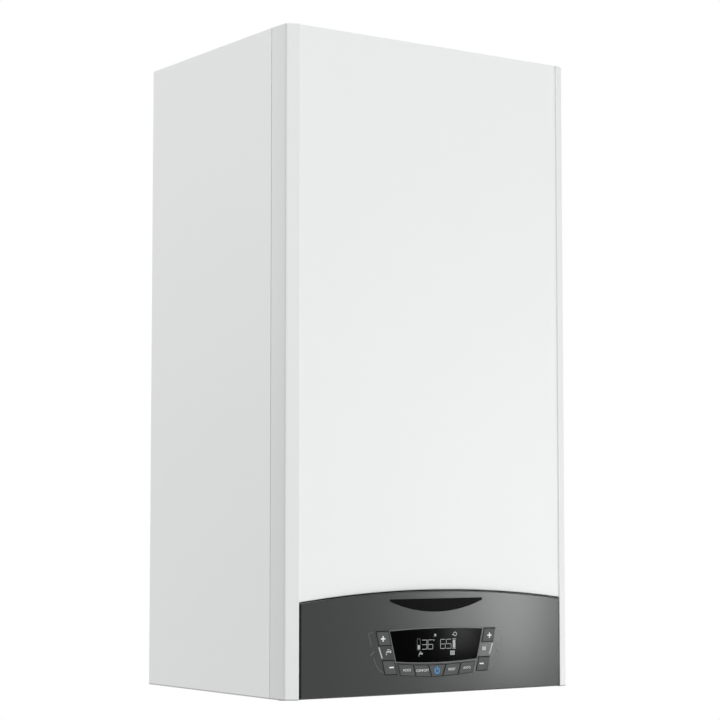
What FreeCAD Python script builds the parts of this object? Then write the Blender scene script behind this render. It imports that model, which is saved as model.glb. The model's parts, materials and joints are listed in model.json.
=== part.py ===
import FreeCAD, Part
import math
import os
from types import SimpleNamespace

import Sketcher

# Wall-hung room-sealed gas boiler, in millimetres.
# X is to the right seen from the front, Y goes into the wall, Z is up.
# The origin is midway between the two hanging holes, on the wall plane.

SIZES = {
    # Casing
    "case_width": 400,
    "case_height": 745,
    "case_depth": 316,
    "hang_below_top": 45,
    "wall_gap": 9,
    "panel_sheet": 1,
    "panel_flange": 14,
    # Front cover
    "bevel_width": 16,
    "bevel_depth": 7.2,
    "return_depth": 27.6,
    "return_taper": 1.5,
    "face_step": 2.4,
    "face_edge_radius": 0.6,
    "seam_gap": 1,
    "cover_edge_radius": 3,
    "cover_screw_radius": 2,
    "cover_screw_length": 8,
    "cover_screw_head": 4,
    "cover_screw_crown": 1,
    "tongue_length": 22,
    "tongue_screw": 12,
    # Rear frame and bottom bracket
    "frame_sheet": 1.5,
    "frame_flange": 45,
    "frame_bevel": 6,
    "hang_spacing": 240,
    "hang_hole_radius": 5.5,
    "frame_window_width": 220,
    "frame_window_height": 230,
    "frame_window_corner": 18,
    "low_window_width": 300,
    "low_window_height": 190,
    "bracket_height": 30,
    "bracket_depth": 232,
    "bracket_lip": 12,
    # Control box
    "fascia_gap": 1.2,
    "fascia_side_height": 104.2,
    "fascia_rise": 11.6,
    "fascia_wall": 4,
    "fascia_bulge": 3,
    "fascia_edge_radius": 1.2,
    "fascia_foot": 0.6,
    "pivot_depth": 12,
    "pivot_height": 10,
    "pivot_radius": 4,
    "pivot_play": 0.06,
    "ear_radius": 7,
    "ear_sheet": 3,
    "ear_space": 2,
    "box_inset": 7.8,
    "box_depth": 56,
    "box_height": 76,
    "box_foot": 4,
    "box_wall": 2,
    "board_gap": 12,
    "board_sheet": 1.6,
    # Display and badge
    "display_top": 71.3,
    "display_bottom": 37.6,
    "display_half_top": 65.2,
    "display_half_bottom": 56.8,
    "display_top_rise": 1.8,
    "display_bottom_rise": 2.3,
    "display_sheet": 1.8,
    "display_ledge": 3,
    "inlay_depth": 0.4,
    "badge_top": 107,
    "badge_half": 65,
    "badge_tip": 2.5,
    "badge_drop": 12.5,
    "badge_sheet": 1,
    # Keys
    "key_slope": 0.25,
    "column_inner": 68,
    "column_key_width": 15.8,
    "column_key_height": 15,
    "column_key_step": 32.5,
    "row_top": 32.2,
    "row_bottom": 19.4,
    "row_top_rise": 2.4,
    "row_bottom_rise": 3.2,
    "row_half": 54.6,
    "row_key_pitch": 21,
    "row_slant_step": 0.07,
    "key_gap": 1.2,
    "key_play": 0.4,
    "key_proud": 0.4,
    "key_lip": 1.5,
    "key_edge": 0.5,
    "key_stem_radius": 2.5,
    "key_travel": 1,
    # Air box
    "cover_space": 26,
    "top_space": 4,
    "side_space": 16,
    "lower_room": 301,
    "air_flange": 13,
    "lid_emboss": 4,
    "lid_margin": 26,
    "seal_thickness": 3,
    "seal_width": 5,
    "seal_inset": 7,
    "lid_screw_inset": 3.5,
    "lid_screw_radius": 1.8,
    "lid_screw_head": 3.2,
    "lid_screw_length": 9,
    "sight_radius": 13,
    "sight_height": 110,
    "inlet_spacing": 200,
    "inlet_radius": 25,
    "flue_radius": 30,
    "flue_wall": 2,
    "flue_socket": 26,
    "flue_flange": 58,
    # Burner and chamber
    "burner_lift": 24,
    "burner_height": 56,
    "blade_count": 11,
    "blade_margin": 25,
    "blade_width": 13,
    "rail_height": 18,
    "rail_depth": 6,
    "riser_room": 53,
    "board_thickness": 10,
    "electrode_radius": 3.5,
    "electrode_spacing": 60,
    "manifold_height": 16,
    "manifold_depth": 16,
    "injector_radius": 4,
    "injector_length": 6,
    # Heat exchanger
    "manifold_room": 38.5,
    "exchanger_height": 78,
    "exchanger_gap": 11,
    "fin_count": 30,
    "fin_margin": 14,
    "fin_sheet": 1,
    "tube_radius": 9,
    "tube_wall": 1,
    "tube_count": 5,
    "tube_margin": 19,
    "tube_overhang": 6,
    # Flue hood and fan
    "hood_slope": 24,
    "hood_neck_width": 110,
    "hood_neck_depth": 52,
    "hood_neck_height": 116,
    "fan_offset": 42,
    "fan_rise": 93,
    "fan_headroom": 24,
    "fan_depth": 54,
    "fan_wall": 1.2,
    "fan_small_radius": 57,
    "fan_large_radius": 72,
    "fan_inlet_radius": 32,
    "impeller_radius": 48,
    "impeller_eye": 38,
    "impeller_width": 34,
    "impeller_blades": 20,
    "shaft_radius": 3,
    "shaft_play": 0.06,
    "fan_motor_radius": 33,
    "fan_motor_length": 42,
    "switch_radius": 29,
    "switch_depth": 30,
    "hose_radius": 3.5,
    "hose_wall": 1,
    # Expansion vessel
    "vessel_radius": 160,
    "vessel_depth": 84,
    "vessel_rim": 5,
    "vessel_corner": 34,
    "vessel_space": 4,
    "vessel_below_top": 222,
    "vessel_nipple": 8,
    # Connections and hydraulic blocks
    "pipe_spacing": 65,
    "pipe_from_wall": 110,
    "stub_lift": 5,
    "stub_thread": 14,
    "large_thread_radius": 13.2,
    "small_thread_radius": 10.5,
    "stub_collar": 3.5,
    "block_overhang": 20,
    "block_depth": 44,
    "block_height": 46,
    "block_corner": 5,
    "tower_radius": 19,
    "tower_height": 58,
    "plate_length": 196,
    "plate_height": 74,
    "plate_sheet": 1.6,
    "plate_pitch": 2.6,
    "plate_count": 14,
    # Pump
    "pump_inset": 15,
    "pump_radius": 52,
    "pump_depth": 44,
    "pump_rise": 58,
    "pump_cavity_radius": 40,
    "pump_cavity_depth": 26,
    "pump_wheel_radius": 36,
    "pump_wheel_eye": 26,
    "pump_wheel_width": 14,
    "pump_wheel_blades": 7,
    "pump_motor_radius": 43,
    "pump_motor_length": 78,
    "pump_port_radius": 14,
    "pump_port_offset": 25,
    "vent_radius": 15,
    "vent_height": 46,
    # Diverter, safety valve and filling tap
    "diverter_radius": 21,
    "diverter_length": 52,
    "diverter_cavity": 13,
    "diverter_stroke": 8,
    "spindle_radius": 3,
    "safety_radius": 14,
    "safety_length": 36,
    "safety_knob_radius": 15,
    "safety_knob_length": 18,
    "safety_knob_flutes": 12,
    "fill_knob_radius": 12,
    "fill_knob_length": 16,
    "fill_knob_flutes": 8,
    "fill_shaft_radius": 4,
    # Gas line and pipes
    "valve_width": 76,
    "valve_depth": 70,
    "valve_height": 78,
    "valve_lift": 82,
    "coil_radius": 16,
    "coil_length": 38,
    "pipe_radius": 9,
    "pipe_wall": 1,
    "pipe_bend": 18,
    "vessel_pipe_radius": 6,
}

doc = FreeCAD.newDocument("gas_boiler")
sheet = doc.addObject("Spreadsheet::Sheet", "Sizes")
nodes = []


class Size:
    """A number that keeps the sheet expression it is worked out from."""

    def __init__(self, number, text):
        self.number = float(number)
        self.text = text

    def __neg__(self):
        return Size(-self.number, f"(-1 * {self.text})")

    def __add__(self, other):
        other = as_size(other)
        return Size(self.number + other.number, f"({self.text} + {other.text})")

    def __sub__(self, other):
        other = as_size(other)
        return Size(self.number - other.number, f"({self.text} - {other.text})")

    def __mul__(self, other):
        other = as_size(other)
        return Size(self.number * other.number, f"({self.text} * {other.text})")

    def __truediv__(self, other):
        other = as_size(other)
        return Size(self.number / other.number, f"({self.text} / {other.text})")

    def __radd__(self, other):
        return as_size(other) + self

    def __rsub__(self, other):
        return as_size(other) - self

    def __rmul__(self, other):
        return as_size(other) * self


def as_size(value):
    """Give plain numbers the same form as sizes from the sheet."""
    if isinstance(value, Size):
        return value
    return Size(value, f"({float(value)})")


def root(value):
    return Size(math.sqrt(value.number), f"sqrt({value.text})")


def fill_sheet():
    """Write the driving sizes to the sheet and read them back by name."""
    for row, (alias, number) in enumerate(SIZES.items(), start=1):
        sheet.set(f"A{row}", alias)
        sheet.set(f"B{row}", str(number))
        sheet.setAlias(f"B{row}", alias)
    doc.recompute()
    return SimpleNamespace(**{alias: Size(sheet.get(alias), f"Sizes.{alias}") for alias in SIZES})


d = fill_sheet()

# Directions a turned piece can point in, as the turn that takes its own axis there
UP = FreeCAD.Rotation()
DOWN = FreeCAD.Rotation(FreeCAD.Vector(1, 0, 0), 180)
FRONT = FreeCAD.Rotation(FreeCAD.Vector(1, 0, 0), 90)
BACK = FreeCAD.Rotation(FreeCAD.Vector(1, 0, 0), -90)
RIGHT = FreeCAD.Rotation(FreeCAD.Vector(0, 1, 0), 90)
LEFT = FreeCAD.Rotation(FreeCAD.Vector(0, 1, 0), -90)

# Planes and levels that several pieces share
half_width = d.case_width / 2
top = d.hang_below_top
bottom = top - d.case_height
face_y = -d.case_depth
bevel_y = face_y + d.bevel_depth
seam_y = bevel_y + d.return_depth
face_half = half_width - d.bevel_width
inside_half = half_width - d.panel_sheet
frame_front_y = -d.frame_sheet
air_half = inside_half - d.side_space
air_back_y = frame_front_y - d.vessel_depth - d.vessel_space
air_front_y = face_y + d.cover_space
air_top = top - d.top_space
air_floor = bottom + d.lower_room
air_inner_floor = air_floor + d.panel_sheet
stack_back_y = air_back_y - d.panel_sheet - d.exchanger_gap
stack_front_y = air_front_y + d.manifold_room
stack_depth = stack_back_y - stack_front_y
stack_mid_y = stack_back_y - stack_depth / 2
stack_half = air_half - d.riser_room
blade_pitch = 2 * (stack_half - d.blade_margin) / (d.blade_count - 1)
fin_pitch = 2 * (stack_half - d.fin_margin) / (d.fin_count - 1)
tube_pitch = (stack_depth - 2 * d.tube_margin) / (d.tube_count - 1)
burner_floor = air_inner_floor + d.burner_lift
chamber_floor = burner_floor + d.burner_height
fan_outlet_z = air_top - d.fan_headroom
fan_z = fan_outlet_z - d.fan_large_radius
exchanger_top = fan_z - d.fan_rise
exchanger_floor = exchanger_top - d.exchanger_height
tube_z = exchanger_floor + d.exchanger_height / 2
neck_floor = exchanger_top + d.hood_slope
neck_front_y = stack_back_y - d.hood_neck_depth
fan_front_y = neck_front_y - d.fan_depth
fan_mid_y = neck_front_y - d.fan_depth / 2
pipe_row_y = -d.pipe_from_wall
bracket_z = bottom + d.bracket_height
block_floor = bracket_z + d.frame_sheet
block_top = block_floor + d.block_height
block_front_y = pipe_row_y - d.block_depth / 2
block_back_y = pipe_row_y + d.block_depth / 2
pivot_y = face_y + d.pivot_depth
pivot_z = bottom + d.pivot_height
fascia_half = face_half - d.fascia_gap
box_half = fascia_half - d.box_inset
fascia_back_y = face_y + d.fascia_wall
fascia_apex_y = face_y - d.fascia_bulge
box_floor = bottom + d.box_foot
box_top = box_floor + d.box_height
box_back_y = fascia_back_y + d.box_depth
board_y = fascia_back_y + d.board_gap
flow_x = -2 * d.pipe_spacing
hot_x = -1 * d.pipe_spacing
cold_x = d.pipe_spacing
return_x = 2 * d.pipe_spacing
safety_x = (cold_x + return_x) / 2
safety_y = block_front_y - d.safety_length / 2
fill_x = (flow_x + hot_x) / 2
block_mid_z = block_floor + d.block_height / 2
vessel_z = top - d.vessel_below_top
vessel_mid_y = frame_front_y - d.vessel_depth / 2
nipple_z = vessel_z - d.vessel_radius - d.vessel_nipple * 2.5
manifold_mid_y = stack_front_y - d.injector_length - d.manifold_depth / 2
gas_joint_z = air_floor - d.pipe_radius
valve_floor = bracket_z + d.valve_lift
valve_top = valve_floor + d.valve_height
valve_front_y = pipe_row_y - d.valve_depth / 2
pump_x = return_x - d.pump_inset
pump_z = block_top + d.pump_rise
pump_front_y = pipe_row_y - d.pump_depth / 2
port_z = pump_z + d.pump_radius + d.block_corner
tube_end_x = stack_half + d.tube_overhang
riser_x = tube_end_x + d.pipe_bend + d.block_corner
return_tube_y = stack_front_y + d.tube_margin
flow_tube_y = stack_back_y - d.tube_margin


def bind(thing, path, value):
    thing.setExpression(path, as_size(value).text)


def place(thing, at, turn=UP):
    """Stand a piece at a point, turned by a fixed turn."""
    numbers = [as_size(value).number for value in at]
    thing.Placement = FreeCAD.Placement(FreeCAD.Vector(*numbers), turn)
    for axis, value in zip("xyz", at):
        bind(thing, f"Placement.Base.{axis}", value)
    return thing


def keep(thing, label):
    """Name a finished piece and put it on the list to be written."""
    thing.Label = label
    nodes.append(thing)
    return thing


def new_body():
    return doc.addObject("PartDesign::Body", "Body")


def sketch_on(body, plane, offset=0):
    """An empty sketch on one of the body's own planes, moved along its normal."""
    sketch = body.newObject("Sketcher::SketchObject", "Sketch")
    support = next(part for part in body.Origin.OriginFeatures if part.Role == plane)
    sketch.AttachmentSupport = [(support, "")]
    sketch.MapMode = "FlatFace"
    bind(sketch, "AttachmentOffset.Base.z", offset)
    return sketch


def hold_point(sketch, element, end, point):
    for kind, value in zip(("DistanceX", "DistanceY"), point):
        number = as_size(value).number
        index = sketch.addConstraint(Sketcher.Constraint(kind, -1, 1, element, end, number))
        bind(sketch, f"Constraints[{index}]", value)


def vector(point):
    return FreeCAD.Vector(*[as_size(value).number for value in point])


def add_bow(sketch, start, finish, rise):
    """An arc that bows out by a given rise to the right of the way from start to finish."""
    ahead = vector(finish) - vector(start)
    chord_half = ahead.Length / 2
    across = FreeCAD.Vector(ahead.y, -ahead.x, 0).normalize()
    middle = (vector(start) + vector(finish)) * 0.5 + across * rise.number
    element = sketch.addGeometry(Part.Arc(vector(start), middle, vector(finish)))
    ends = (1, 2) if rise.number > 0 else (2, 1)
    half_x = (as_size(finish[0]) - start[0]) / 2
    half_y = (as_size(finish[1]) - start[1]) / 2
    radius = (half_x * half_x + half_y * half_y + rise * rise) / (2 * rise)
    if rise.number < 0:
        radius = -radius
    assert abs(rise.number) <= chord_half
    index = sketch.addConstraint(Sketcher.Constraint("Radius", element, radius.number))
    bind(sketch, f"Constraints[{index}]", radius)
    return element, ends


def outline(sketch, corners, bows=None):
    """A closed outline through bound corners; bows gives the rise of the sides that are arcs."""
    bows = bows or {}
    sides = []
    for index, start in enumerate(corners):
        finish = corners[(index + 1) % len(corners)]
        if index in bows:
            sides.append(add_bow(sketch, start, finish, as_size(bows[index])))
        else:
            line = Part.LineSegment(vector((*start, 0)), vector((*finish, 0)))
            sides.append((sketch.addGeometry(line), (1, 2)))
    for index, (element, ends) in enumerate(sides):
        following, next_ends = sides[(index + 1) % len(sides)]
        sketch.addConstraint(
            Sketcher.Constraint("Coincident", element, ends[1], following, next_ends[0]))
        hold_point(sketch, element, ends[0], corners[index])
    return sketch


def circle(sketch, centre, radius):
    radius = as_size(radius)
    middle = vector((*centre, 0))
    element = sketch.addGeometry(Part.Circle(middle, FreeCAD.Vector(0, 0, 1), radius.number))
    index = sketch.addConstraint(Sketcher.Constraint("Radius", element, radius.number))
    bind(sketch, f"Constraints[{index}]", radius)
    hold_point(sketch, element, 3, centre)
    return sketch


def rectangle(sketch, low_x, high_x, low_y, high_y):
    corners = [(low_x, low_y), (high_x, low_y), (high_x, high_y), (low_x, high_y)]
    return outline(sketch, corners)


def pad(body, sketch, length, backwards=False):
    feature = body.newObject("PartDesign::Pad", "Pad")
    feature.Profile = sketch
    feature.Reversed = backwards
    bind(feature, "Length", length)
    return feature


def pocket(body, sketch, depth=None, backwards=False):
    """Cut a sketch out, to a depth or else both ways through all."""
    feature = body.newObject("PartDesign::Pocket", "Pocket")
    feature.Profile = sketch
    feature.Reversed = backwards
    if depth is None:
        feature.Type = "ThroughAll"
        feature.SideType = "Symmetric"
    else:
        bind(feature, "Length", depth)
    return feature


def round_edges(body, radius, wanted, kind="PartDesign::Fillet"):
    """Round or chamfer the edges of the body for which wanted(edge) is true."""
    doc.recompute()
    base = body.Tip
    names = [f"Edge{index}" for index, edge in enumerate(base.Shape.Edges, start=1) if wanted(edge)]
    feature = body.newObject(kind, "Edges")
    feature.Base = (base, names)
    bind(feature, "Radius" if kind.endswith("Fillet") else "Size", radius)
    return feature


def is_upright(edge):
    ends = [vertex.Point for vertex in edge.Vertexes]
    return len(ends) == 2 and math.hypot(ends[1].x - ends[0].x, ends[1].y - ends[0].y) < 1e-6


def arch_at(depth):
    """A test for arched edges in the upright plane at the given depth."""
    plane = vector((0, depth, 0)).y

    def wanted(edge):
        flat = all(abs(vertex.Point.y - plane) < 1e-3 for vertex in edge.Vertexes)
        return flat and edge.Curve.TypeId == "Part::GeomCircle"

    return wanted


def upright_at(corners):
    """A test for upright edges that stand on one of the given plan corners."""
    spots = [vector((*corner, 0)) for corner in corners]

    def wanted(edge):
        foot = edge.Vertexes[0].Point
        near = any(math.hypot(foot.x - spot.x, foot.y - spot.y) < 1e-3 for spot in spots)
        return near and is_upright(edge)

    return wanted


def front_of(level):
    """A test for edges that lie wholly at or before a Y level."""
    return lambda edge: all(vertex.Point.y < level.number + 1e-3 for vertex in edge.Vertexes)


def turned(profile, at, turn=UP, bows=None):
    """A piece of revolution from (radius, height) corners, standing at a point."""
    body = new_body()
    sketch = outline(sketch_on(body, "XZ_Plane"), profile, bows)
    feature = body.newObject("PartDesign::Revolution", "Revolution")
    feature.Profile = sketch
    feature.ReferenceAxis = (sketch, ["V_Axis"])
    feature.Angle = 360
    return place(body, at, turn)


def rod(radius, length, at, turn=UP):
    piece = doc.addObject("Part::Cylinder", "Rod")
    bind(piece, "Radius", radius)
    bind(piece, "Height", length)
    return place(piece, at, turn)


def block(low_x, high_x, low_y, high_y, low_z, high_z):
    """A plain block between two corners."""
    piece = doc.addObject("Part::Box", "Block")
    bind(piece, "Length", as_size(high_x) - low_x)
    bind(piece, "Width", as_size(high_y) - low_y)
    bind(piece, "Height", as_size(high_z) - low_z)
    return place(piece, (low_x, low_y, low_z))


def rounded_block(low_x, high_x, low_y, high_y, low_z, high_z, radius):
    """A cast block with all its edges rounded."""
    body = new_body()
    pad(body, rectangle(sketch_on(body, "XY_Plane", low_z), low_x, high_x, low_y, high_y),
        as_size(high_z) - low_z)
    round_edges(body, radius, lambda edge: True)
    return body


def fuse(pieces):
    result = doc.addObject("Part::MultiFuse", "Fuse")
    result.Shapes = pieces
    result.Refine = True
    return result


def group(pieces):
    result = doc.addObject("Part::Compound", "Group")
    result.Links = pieces
    return result


def cut(base, tools):
    result = doc.addObject("Part::Cut", "Cut")
    result.Base = base
    result.Tool = tools[0] if len(tools) == 1 else fuse(tools)
    return result


def centre_line(points, bend):
    """A wire through the points with a tangent arc at every inner one."""
    corners = [vector(point) for point in points]
    edges = []
    start = corners[0]
    for before, corner, after in zip(corners, corners[1:], corners[2:]):
        arriving = (corner - before).normalize()
        leaving = (after - corner).normalize()
        half_turn = arriving.getAngle(leaving) / 2
        reach = bend.number * math.tan(half_turn)
        inward = (leaving - arriving).normalize()
        centre = corner + inward * (bend.number / math.cos(half_turn))
        arc_start = corner - arriving * reach
        arc_end = corner + leaving * reach
        edges.append(Part.makeLine(start, arc_start))
        edges.append(Part.Arc(arc_start, centre - inward * bend.number, arc_end).toShape())
        start = arc_end
    edges.append(Part.makeLine(start, corners[-1]))
    return Part.Wire(edges)


def tube(points, bend, radius, wall):
    """A bent tube along a route in space; a sketch holds only flat routes, so it is swept here."""
    route = centre_line(points, bend)
    start = route.Edges[0].Vertexes[0].Point
    ahead = route.Edges[0].tangentAt(route.Edges[0].FirstParameter)

    def swept(size):
        ring = Part.Wire([Part.makeCircle(size.number, start, ahead)])
        return route.makePipeShell([ring], True, False)

    piece = doc.addObject("Part::Feature", "Tube")
    piece.Shape = swept(radius).cut(swept(radius - wall))
    piece.Placement = FreeCAD.Placement()
    return piece


# Casing

def frame_window(body, middle, width, height):
    """A cut-out in the back plate with rounded corners."""
    reach_x = width / 2
    reach_z = height / 2
    sketch = sketch_on(body, "XZ_Plane")
    pocket(body, rectangle(sketch, -reach_x, reach_x, middle - reach_z, middle + reach_z))

    def is_corner(edge):
        ends = [vertex.Point for vertex in edge.Vertexes]
        across = len(ends) == 2 and abs(ends[0].y - ends[1].y) > edge.Length - 1e-6
        at_side = abs(abs(ends[0].x) - reach_x.number) < 1e-3
        return across and at_side and abs(abs(ends[0].z - middle.number) - reach_z.number) < 1e-3

    round_edges(body, d.frame_window_corner, is_corner)


def rear_frame():
    """A folded back plate with bevelled edges, a top shelf and windows behind the vessel and the pipes."""
    body = new_body()
    gauge = d.frame_sheet
    inner = inside_half - gauge
    front = -d.frame_flange
    slant = root(d.frame_bevel * d.frame_bevel + d.wall_gap * d.wall_gap)
    back_half = inside_half - d.frame_bevel
    right_outer = [(inside_half, front), (inside_half, -d.wall_gap), (back_half, 0)]
    right_inner = [
        (inner, front), (inner, -d.wall_gap - gauge * (slant - d.wall_gap) / d.frame_bevel),
        (back_half - gauge * (slant - d.frame_bevel) / d.wall_gap, frame_front_y),
    ]
    left_outer = [(-x, y) for x, y in right_outer]
    left_inner = [(-x, y) for x, y in right_inner]
    section = left_outer + right_outer[::-1] + right_inner + left_inner[::-1]
    pad(body, outline(sketch_on(body, "XY_Plane", bracket_z), section), air_top - bracket_z)
    shelf = [(-inside_half, air_back_y)] + left_outer[1:] + right_outer[:0:-1] + [(inside_half, air_back_y)]
    pad(body, outline(sketch_on(body, "XY_Plane", air_top - gauge), shelf), gauge)
    frame_window(body, vessel_z, d.frame_window_width, d.frame_window_height)
    low_middle = block_top + d.low_window_height / 2
    frame_window(body, low_middle, d.low_window_width, d.low_window_height)
    holes = sketch_on(body, "XZ_Plane")
    for hand in (-1, 1):
        circle(holes, (hand * d.hang_spacing / 2, 0), d.hang_hole_radius)
    pocket(body, holes)
    keep(body, "rear_frame")


def side_panel(label, hand):
    """A folded side panel; its raised bottom tongue takes a cover screw in an open slot."""
    body = new_body()
    outer = hand * half_width
    inner = hand * inside_half
    lip = hand * (half_width - d.panel_flange)
    back = -d.wall_gap
    front = seam_y + d.seam_gap / 2
    section = [
        (inner, back), (inner, front + d.panel_sheet), (lip, front + d.panel_sheet),
        (lip, front), (outer, front), (outer, back),
    ]
    pad(body, outline(sketch_on(body, "XY_Plane", bottom), section), d.case_height)
    cap = sketch_on(body, "XY_Plane", top - d.panel_sheet)
    pad(body, outline(cap, [(lip, back), (lip, front), (outer, front), (outer, back)]), d.panel_sheet)
    tongue_level = bottom + d.panel_sheet + d.seam_gap / 2
    tongue_front = seam_y - d.tongue_length
    tongue_side = hand * (inside_half - d.return_taper - d.seam_gap)
    tongue = [
        (lip, back), (lip, tongue_front), (tongue_side, tongue_front), (tongue_side, front),
        (outer, front), (outer, back),
    ]
    pad(body, outline(sketch_on(body, "XY_Plane", tongue_level), tongue), d.panel_sheet)
    slot_half = d.cover_screw_radius + d.seam_gap / 2
    slot_x = hand * (half_width + face_half) / 2
    slot_end = seam_y - d.tongue_screw + slot_half
    slot = sketch_on(body, "XY_Plane", tongue_level)
    rectangle(slot, slot_x - slot_half, slot_x + slot_half, tongue_front - 1, slot_end)
    pocket(body, slot)
    keep(body, label)


def front_cover():
    """One folded sheet: a face set in between bevelled strips, returns to the seam, an arched notch."""
    body = new_body()
    gauge = d.panel_sheet
    corner_half = half_width - d.return_taper
    run = corner_half - face_half
    slant = root(run * run + d.bevel_depth * d.bevel_depth)
    back = seam_y - d.seam_gap / 2
    sunk_y = face_y + d.face_step
    right_outer = [(half_width, back), (corner_half, bevel_y), (face_half, face_y), (face_half, sunk_y)]
    right_inner = [
        (half_width - gauge, back), (corner_half - gauge, bevel_y + gauge * (slant - d.bevel_depth) / run),
        (face_half + gauge, face_y + gauge * (slant + d.bevel_depth) / run),
        (face_half + gauge, sunk_y + gauge),
    ]
    left_outer = [(-x, y) for x, y in right_outer]
    left_inner = [(-x, y) for x, y in right_inner]
    section = left_outer + right_outer[::-1] + right_inner + left_inner[::-1]
    pad(body, outline(sketch_on(body, "XY_Plane", bottom), section), d.case_height)
    cap = sketch_on(body, "XY_Plane", top - gauge)
    pad(body, outline(cap, left_outer + right_outer[::-1]), gauge)
    for corners in (left_outer, right_outer):
        tab = sketch_on(body, "XY_Plane", bottom)
        pad(body, outline(tab, corners[:3] + [(corners[2][0], back)]), gauge)
    round_edges(body, d.cover_edge_radius, upright_at([left_outer[1], right_outer[1]]))
    round_edges(body, d.cover_edge_radius - gauge, upright_at([left_inner[1], right_inner[1]]))
    round_edges(body, d.face_edge_radius, upright_at([left_outer[2], right_outer[2]]))
    notch_side = bottom + d.fascia_side_height + d.fascia_gap
    notch = sketch_on(body, "XZ_Plane")
    corners = [
        (-face_half, bottom - 1), (face_half, bottom - 1), (face_half, notch_side),
        (-face_half, notch_side),
    ]
    pocket(body, outline(notch, corners, {2: d.fascia_rise}))
    round_edges(body, d.face_edge_radius, arch_at(sunk_y))
    holes = sketch_on(body, "XY_Plane", bottom)
    for hand in (-1, 1):
        spot = (hand * (half_width + face_half) / 2, seam_y - d.tongue_screw)
        circle(holes, spot, d.cover_screw_radius + d.seam_gap / 4)
    pocket(body, holes, gauge, backwards=True)
    keep(body, "front_cover")


def screw(shank, length, head, crown, at, turn):
    """A pan-head screw whose head sits on the plane through the point."""
    profile = [(0, -crown), (head, -crown), (head, 0), (shank, 0), (shank, length), (0, length)]
    return turned(profile, at, turn)


def cover_screws():
    screws = []
    for hand in (-1, 1):
        at = (hand * (half_width + face_half) / 2, seam_y - d.tongue_screw, bottom)
        screws.append(screw(d.cover_screw_radius, d.cover_screw_length, d.cover_screw_head,
                            d.cover_screw_crown, at, UP))
    keep(group(screws), "cover_screws")


def bottom_bracket():
    """The pipe bracket, with an arm at each side that carries the control box."""
    side = inside_half - d.frame_sheet
    front = -d.bracket_depth
    tail_y = -d.wall_gap - d.frame_sheet
    tail_half = side - d.frame_bevel - d.frame_sheet
    plate = block(-side, side, front, tail_y, bracket_z, block_floor)
    tail = block(-tail_half, tail_half, tail_y, frame_front_y, bracket_z, block_floor)
    lip = block(-side, side, front, front + d.frame_sheet, bracket_z - d.bracket_lip, bracket_z)
    solids = [plate, tail, lip]
    holes = []
    for hand in (-1, 1):
        near = hand * (box_half + d.ear_space)
        far = hand * (box_half + d.ear_space + d.ear_sheet)
        low_x, high_x = (near, far) if hand > 0 else (far, near)
        arm_floor = pivot_z - d.ear_radius
        arm_top = pivot_z + d.ear_radius
        root_y = front + d.bracket_height
        solids.append(block(low_x, high_x, pivot_y, root_y, arm_floor, arm_top))
        solids.append(block(low_x, high_x, front, root_y, arm_floor, block_floor))
        solids.append(rod(d.ear_radius, d.ear_sheet, (low_x, pivot_y, pivot_z), RIGHT))
        holes.append(rod(d.pivot_radius + d.pivot_play, d.ear_sheet, (low_x, pivot_y, pivot_z), RIGHT))
    for x, radius in stub_rows():
        clear = radius + d.stub_collar + d.stub_collar / 2
        holes.append(rod(clear, d.frame_sheet, (x, pipe_row_y, bracket_z)))
    holes.append(rod(d.safety_radius, d.frame_sheet, (safety_x, safety_y, bracket_z)))
    holes.append(rod(d.fill_shaft_radius * 2, d.frame_sheet, (fill_x, pipe_row_y, bracket_z)))
    keep(cut(fuse(solids), holes), "bottom_bracket")


# Control box

def display_corners(grow):
    low = bottom + d.display_bottom - grow
    high = bottom + d.display_top + grow
    half_low = d.display_half_bottom + grow
    half_high = d.display_half_top + grow
    return [(-half_low, low), (half_low, low), (half_high, high), (-half_high, high)]


def badge_corners(grow):
    high = bottom + d.badge_top + grow
    low = high - d.badge_tip - 2 * grow
    half = d.badge_half + grow
    return [(-half, high), (-half, low), (half, low), (half, high)]


def column_key_corners(hand, step, grow):
    """A plus key (step 0) or minus key (step 1), slanted like the display's side."""
    high = bottom + d.display_top - step * d.column_key_step + grow
    low = high - d.column_key_height - 2 * grow

    def inner(level):
        return d.column_inner - d.key_slope * (bottom + d.display_top - level) - grow

    width = d.column_key_width + 2 * grow
    return [
        (hand * inner(low), low), (hand * (inner(low) + width), low),
        (hand * (inner(high) + width), high), (hand * inner(high), high),
    ]


def row_division(index):
    """Top and bottom points of a slanted division of the lower key row, counted inwards."""
    top_x = d.row_half - index * d.row_key_pitch
    slope = d.key_slope + index * d.row_slant_step
    bottom_x = top_x - slope * (d.row_top - d.row_bottom)
    half_squared = d.row_half * d.row_half
    high = bottom + d.row_top + d.row_top_rise * (top_x * top_x) / half_squared
    low = bottom + d.row_bottom + d.row_bottom_rise * (bottom_x * bottom_x) / half_squared
    return (top_x, high), (bottom_x, low)


def mirrored(point, hand):
    return hand * point[0], point[1]


def row_key_corners(place_in_row, reach):
    """One of the five keys of the lower row; reach makes it taller for its lip."""
    divisions = [(-1, 0), (-1, 1), (-1, 2), (1, 2), (1, 1), (1, 0)]
    left_hand, left = divisions[place_in_row]
    right_hand, right = divisions[place_in_row + 1]
    left_high, left_low = [mirrored(point, left_hand) for point in row_division(left)]
    right_high, right_low = [mirrored(point, right_hand) for point in row_division(right)]
    inset = d.key_gap / 2
    return [
        (left_low[0] + inset, left_low[1] - reach), (right_low[0] - inset, right_low[1] - reach),
        (right_high[0] - inset, right_high[1] + reach), (left_high[0] + inset, left_high[1] + reach),
    ]


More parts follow.
